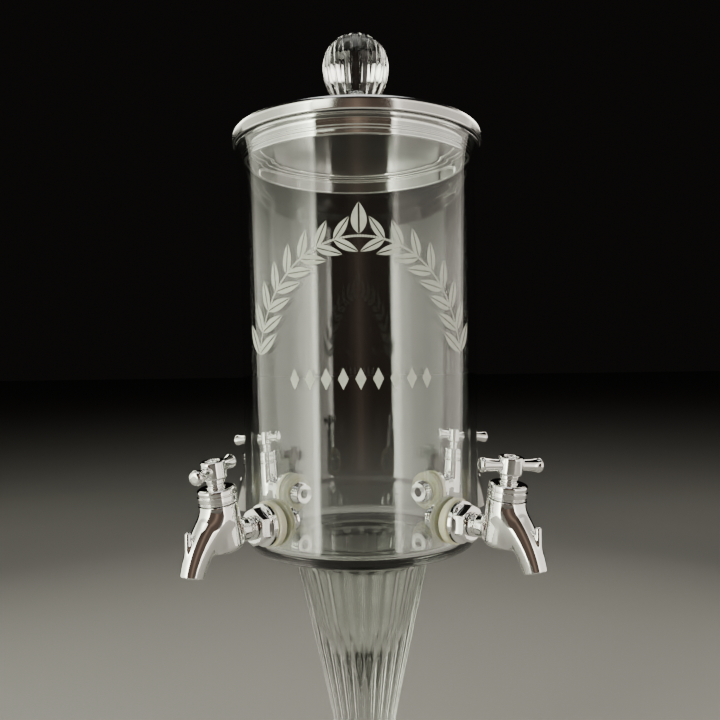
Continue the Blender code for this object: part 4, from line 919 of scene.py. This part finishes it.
def shankSurface(f, sideRows=26, rowsPerTurn=12):
    # Turned round the waterway: nut, flange and thread. Over the nut's length the radius is that of
    # a hexagon, apothem / cos(angle to the nearest flat), kept under a chamfer cone.
    face, outer, inner, well = f.hexFace, f.flangeOuter, f.flangeInner, f.hexFace - f.socketDepth
    apothem = 0.5 * f.hexWidth
    corner = apothem / math.cos(math.pi / 6.0)
    front = roundedProfile([(f.socket, well, 0.0), (f.socket, face, 0.0003), (apothem - 0.0004, face, 0.0)])
    sides = rings(corner, np.linspace(face - 0.00002, outer + 0.0004, sideRows))
    flange = roundedProfile([(corner, outer + 0.0004, 0.0), (corner - 0.0001, outer, 0.0),
                             (f.flange, outer, 0.0011), (f.flange, inner, 0.0009),
                             (f.thread, inner, 0.0)])[2:]
    rows = int(rowsPerTurn * (inner - f.end) / f.pitch)
    thread = rings(f.thread, np.linspace(inner - 0.0001, f.end, rows))
    core = f.thread - f.depth
    back = roundedProfile([(core, f.end, 0.0), (f.bore, f.end, 0.0004), (f.bore, well, 0.0)])[1:]
    firstThread = len(front) + sideRows + len(flange)

    def shape(angle, r, z):
        row = np.arange(len(r))[:, None]
        hexagon = apothem / np.cos(np.mod(angle, math.pi / 3.0) - math.pi / 6.0)
        hexagon = np.minimum(smoothMin(hexagon, corner - 0.0001, 0.0003),
                             apothem + 0.0001 + (face - z) * f.chamferSlope)
        onHex = (row >= len(front)) & (row < len(front) + sideRows)
        onThread = (row >= firstThread) & (row < firstThread + rows)
        cut = threadCut(angle, z, z - f.end, f.pitch, f.depth)
        return np.where(onHex, hexagon - r, 0.0) - np.where(onThread, cut, 0.0)

    profile = np.concatenate([front, sides, flange, thread, back])
    return moved(layAlongX(turnedSurface(profile, 192, closed=True, swell=shape)), -tapFacts["reach"])


washerFacts = {
    "radius": 0.0117, "bore": 0.0068, "outerFace": 0.0679, "glassOuter": 0.0651, "glassInner": 0.0613,
    "innerFace": 0.0594, "nutOuter": 0.0591, "nutInner": 0.0561, "nutTip": 0.0084, "nutShoulder": 0.0090,
}


def washerSurface(corners, glassFace=None, flatFace=None):
    # A ring along X. Towards its glass face it follows the round glass, which has that face's radius.
    points, quads, tris = layAlongX(turnedRing(corners, 128))
    x, y, z = points.T
    if glassFace is not None:
        end = x.min() if flatFace > 0.5 * (x.min() + x.max()) else x.max()
        toGlass = clamped((x - flatFace) / (end - flatFace))
        x = x + (np.sqrt(glassFace ** 2 - y ** 2) - glassFace) * toGlass
    return np.stack([x - tapFacts["reach"], y, z], -1), quads, tris


def washerSet(f):
    r, bore = f.radius, f.bore
    outer = washerSurface([(bore, f.outerFace, 0.0002), (r, f.outerFace, 0.0006), (r, f.glassOuter, 0.0005),
                           (bore, f.glassOuter, 0.0002)], f.glassOuter, f.outerFace)
    inner = washerSurface([(bore, f.glassInner, 0.0002), (r, f.glassInner, 0.0004), (r, f.innerFace, 0.0004),
                           (bore, f.innerFace, 0.0002)], f.glassInner, f.innerFace)
    nut = washerSurface([(bore, f.nutOuter, 0.0002), (r, f.nutOuter, 0.0004),
                         (r, f.nutOuter - 0.0014, 0.0008), (f.nutShoulder, f.nutInner + 0.0011, 0.0006),
                         (f.nutTip, f.nutInner, 0.0005), (bore, f.nutInner, 0.0003)])
    return outer, inner, nut


tapBody, handle = (castSurface(field, facts["low"], facts["high"], facts["cell"])
                   for field, facts in ((tapBodyField, castFacts), (handleField, handleFacts)))
outerWasher, innerWasher, lockNut = washerSet(named(washerFacts))
size = named(fittingFacts)
tapPieces = (
    # node's name, how it was made, surface, material, slot, whether it turns with the handle
    ("body", "cast", tapBody, chrome, "polished_chrome", False),
    ("shank", "turned", shankSurface(named(shankFacts)), chrome, "polished_chrome", False),
    ("outer_washer", "moulded", outerWasher, nylon, "natural_nylon", False),
    ("inner_washer", "moulded", innerWasher, nylon, "natural_nylon", False),
    ("lock_nut", "moulded", lockNut, nylon, "natural_nylon", False),
    ("bonnet", "turned", leaned(bonnetSurface(size)), chrome, "polished_chrome", False),
    ("spindle", "turned", spindleSurface(size), chrome, "polished_chrome", True),
    ("handle", "cast", handle, chrome, "polished_chrome", True),
    ("handle_screw", "domed", screwSurface(size), steel, "zinc_steel", True),
)
for index, clocking in enumerate(tapFacts["clocking"]):
    tap = f"tap_{index + 1}"
    for part, word, surface, material, slotName, turns in tapPieces:
        body = f"{tap}_handle_set" if turns else "fountain"
        surface = leaned(spun(surface, clocking)) if turns else surface
        addPiece(f"{tap}_{part}_{word}", placeTap(surface, index), material, body, slotName, f"{tap}_{part}")
for name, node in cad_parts.items():
    if name in ("knob_nut", "knob_washer") or name.endswith("_seal"):
        for place in node.material_slots:
            place.material = rubber if name.endswith("_seal") else steel
print("taps made")


# Studio

plainScreen = {"radius": 0.85, "top": 1.09, "fade": 0.10, "foot": 0.001,
               "high": (0.44, 0.60, 0.40, 0.74, 0.80, 0.75)}
warm, cool = (1.0, 0.93, 0.82), (0.99, 1.0, 0.83)
studioFacts = {
    "floor": (0.42, 0.415, 0.40), "floorShade": 0.93, "floorHalf": 16.0,
    "lift": (104.0, 122.0, 0.70),      # a screen's lower edge climbs between these angles, this high
    # Each screen spans some degrees round the camera's side. Its stops give degrees and strengths, and
    # high says between which heights it dims to a share, and then to another.
    "screens": {
        "screenLeft": dict(plainScreen, span=(-37.0, -160.0), colour=cool,
                           stops=((37.0, 0.0), (41.0, 13.0), (46.0, 6.6), (57.0, 3.8), (68.0, 2.3),
                                  (84.0, 1.9), (118.0, 2.2), (136.0, 7.0), (160.0, 7.0))),
        "screenRight": dict(plainScreen, span=(30.0, 160.0), colour=warm,
                            stops=((30.0, 0.0), (34.0, 5.5), (38.5, 2.0), (60.0, 1.6), (112.0, 1.8),
                                   (136.0, 7.0), (160.0, 7.0))),
        "wing": dict(plainScreen, span=(-19.0, -42.0), colour=cool, foot=0.70,
                     high=(0.44, 0.60, 1.0, 0.74, 0.80, 1.0),
                     stops=((19.0, 0.0), (25.0, 4.0), (37.0, 5.0), (42.0, 0.0))),
        "room": dict(radius=1.5, top=1.5, fade=0.3, foot=0.001, span=(-37.0, 37.0), colour=(1.0, 0.72, 0.55),
                     high=(0.80, 1.00, 0.65, 1.10, 1.20, 0.65),
                     stops=((0.0, 0.25), (7.0, 0.15), (13.0, 0.09), (37.0, 0.09))),
    },
    "ceiling": (0.0, -0.35, 1.7), "ceilingSize": (1.1, 1.3), "ceilingPower": 5.0,
    "surround": (0.0050, 0.0045, 0.0042),
}


def addFloor(f):
    made, tree, shader = newMaterial("paleFloor")
    drift = useGroup(tree, mould, Drift=6.0, Grain=400.0)["Drift"]
    shade = tuple(f.floorShade * c for c in f.floor)
    feed(tree, shader, {"Base Color": mixedColour(tree, drift, f.floor, shade), "Roughness": 0.7})
    half = f.floorHalf
    mesh = bpy.data.meshes.new("floor")
    mesh.from_pydata([(-half, -half, 0.0), (half, -half, 0.0), (half, half, 0.0), (-half, half, 0.0)], [],
                     [(0, 1, 2, 3)])
    mesh.materials.append(made)
    floor = addObject("floor", mesh)


def glowMaterial(name, f):
    # Strength by the angle off the camera's side, eased between stops, changing with height.
    made = bpy.data.materials.new(name)
    made.use_nodes = True
    tree = made.node_tree
    tree.nodes.clear()
    x, y, z = addNode(tree, "SeparateXYZ", {0: objectPlace(tree)}).outputs
    turn = calc(tree, "ABSOLUTE", calc(tree, "ARCTAN2", x, calc(tree, "MULTIPLY", y, -1.0)))
    ramp = addNode(tree, "ValToRGB", {"Fac": calc(tree, "DIVIDE", turn, math.pi)})
    ramp.color_ramp.interpolation = "EASE"
    elements = ramp.color_ramp.elements
    elements[0].position, elements[1].position = f.stops[0][0] / 180.0, f.stops[-1][0] / 180.0
    for degrees, _ in f.stops[1:-1]:
        elements.new(degrees / 180.0)
    peak = max(value for _, value in f.stops)
    for element, (_, value) in zip(elements, f.stops):
        element.color = (*[value / peak] * 3, 1.0)
    first, second = f.high[2], f.high[5]
    level = calc(tree, "ADD", mapped(tree, z, f.high[0], f.high[1], 1.0, first),
                 mapped(tree, z, f.high[3], f.high[4], 0.0, second - first))
    strength = calc(tree, "MULTIPLY", calc(tree, "MULTIPLY", ramp.outputs["Color"], peak), level)
    strength = calc(tree, "MULTIPLY", strength, mapped(tree, z, f.top - f.fade, f.top, 1.0, 0.0))
    glow = addNode(tree, "Emission", {"Color": (*f.colour, 1.0), "Strength": strength})
    addNode(tree, "OutputMaterial", {"Surface": glow.outputs[0]})
    return made


def addScreen(name, f, lift, columns=49, rows=9):
    # point(angle, t) = (R sin angle, -R cos angle, low + t (top - low)); low climbs towards the rear.
    angle = np.radians(np.linspace(*f.span, columns))[None, :]
    t = np.linspace(0.0, 1.0, rows)[:, None]
    back = clamped((np.degrees(np.abs(angle)) - lift[0]) / (lift[1] - lift[0]))
    low = f.foot + lift[2] * back * back * (3.0 - 2.0 * back)
    shape = np.broadcast_arrays(f.radius * np.sin(angle), -f.radius * np.cos(angle), low + t * (f.top - low))
    corner = np.arange(rows - 1)[:, None] * columns + np.arange(columns - 1)[None, :]
    quads = np.stack([corner, corner + 1, corner + columns + 1, corner + columns], -1)
    mesh = bpy.data.meshes.new(name)
    mesh.from_pydata(np.stack(shape, -1).reshape(-1, 3).tolist(), [], quads.reshape(-1, 4).tolist())
    mesh.materials.append(glowMaterial(name, f))
    screen = addObject(name, mesh)
    screen.visible_camera = False


def makeStudio(f):
    addFloor(f)
    for name, facts in f.screens.items():
        addScreen(name, named(facts), f.lift)
    lamp = bpy.data.lights.new("ceiling", "AREA")
    lamp.shape, lamp.energy = "RECTANGLE", f.ceilingPower
    lamp.size, lamp.size_y = f.ceilingSize
    item = addObject("ceiling", lamp)
    item.location, item.visible_camera = f.ceiling, False
    world = bpy.data.worlds.new("surround")
    world.use_nodes = True
    feed(world.node_tree, world.node_tree.nodes["Background"], {"Color": (*f.surround, 1.0), "Strength": 1.0})
    bpy.context.scene.world = world


cameraFacts = {
    "distance": 0.4061, "height": 0.3062, "azimuth": 269.57, "pitch": 0.0263, "roll": 0.0140,
    "lens": 36.0, "sensor": 36.0, "shift": 0.0299, "nearest": 0.01,
}


def makeCamera(f):
    azimuth = math.radians(f.azimuth)
    outX, outY = math.cos(azimuth), math.sin(azimuth)
    place = Vector((f.distance * outX, f.distance * outY, f.height))
    ahead = Vector((-outX * math.cos(f.pitch), -outY * math.cos(f.pitch), -math.sin(f.pitch)))
    data = bpy.data.cameras.new("camera")
    data.lens, data.sensor_width, data.shift_y, data.clip_start = f.lens, f.sensor, f.shift, f.nearest
    camera = addObject("camera", data)
    camera.matrix_world = (Matrix.Translation(place) @ ahead.to_track_quat("-Z", "Y").to_matrix().to_4x4()
                           @ Matrix.Rotation(-f.roll, 4, "Z"))
    bpy.context.scene.camera = camera


makeStudio(named(studioFacts))
makeCamera(named(cameraFacts))
print("studio and camera made")
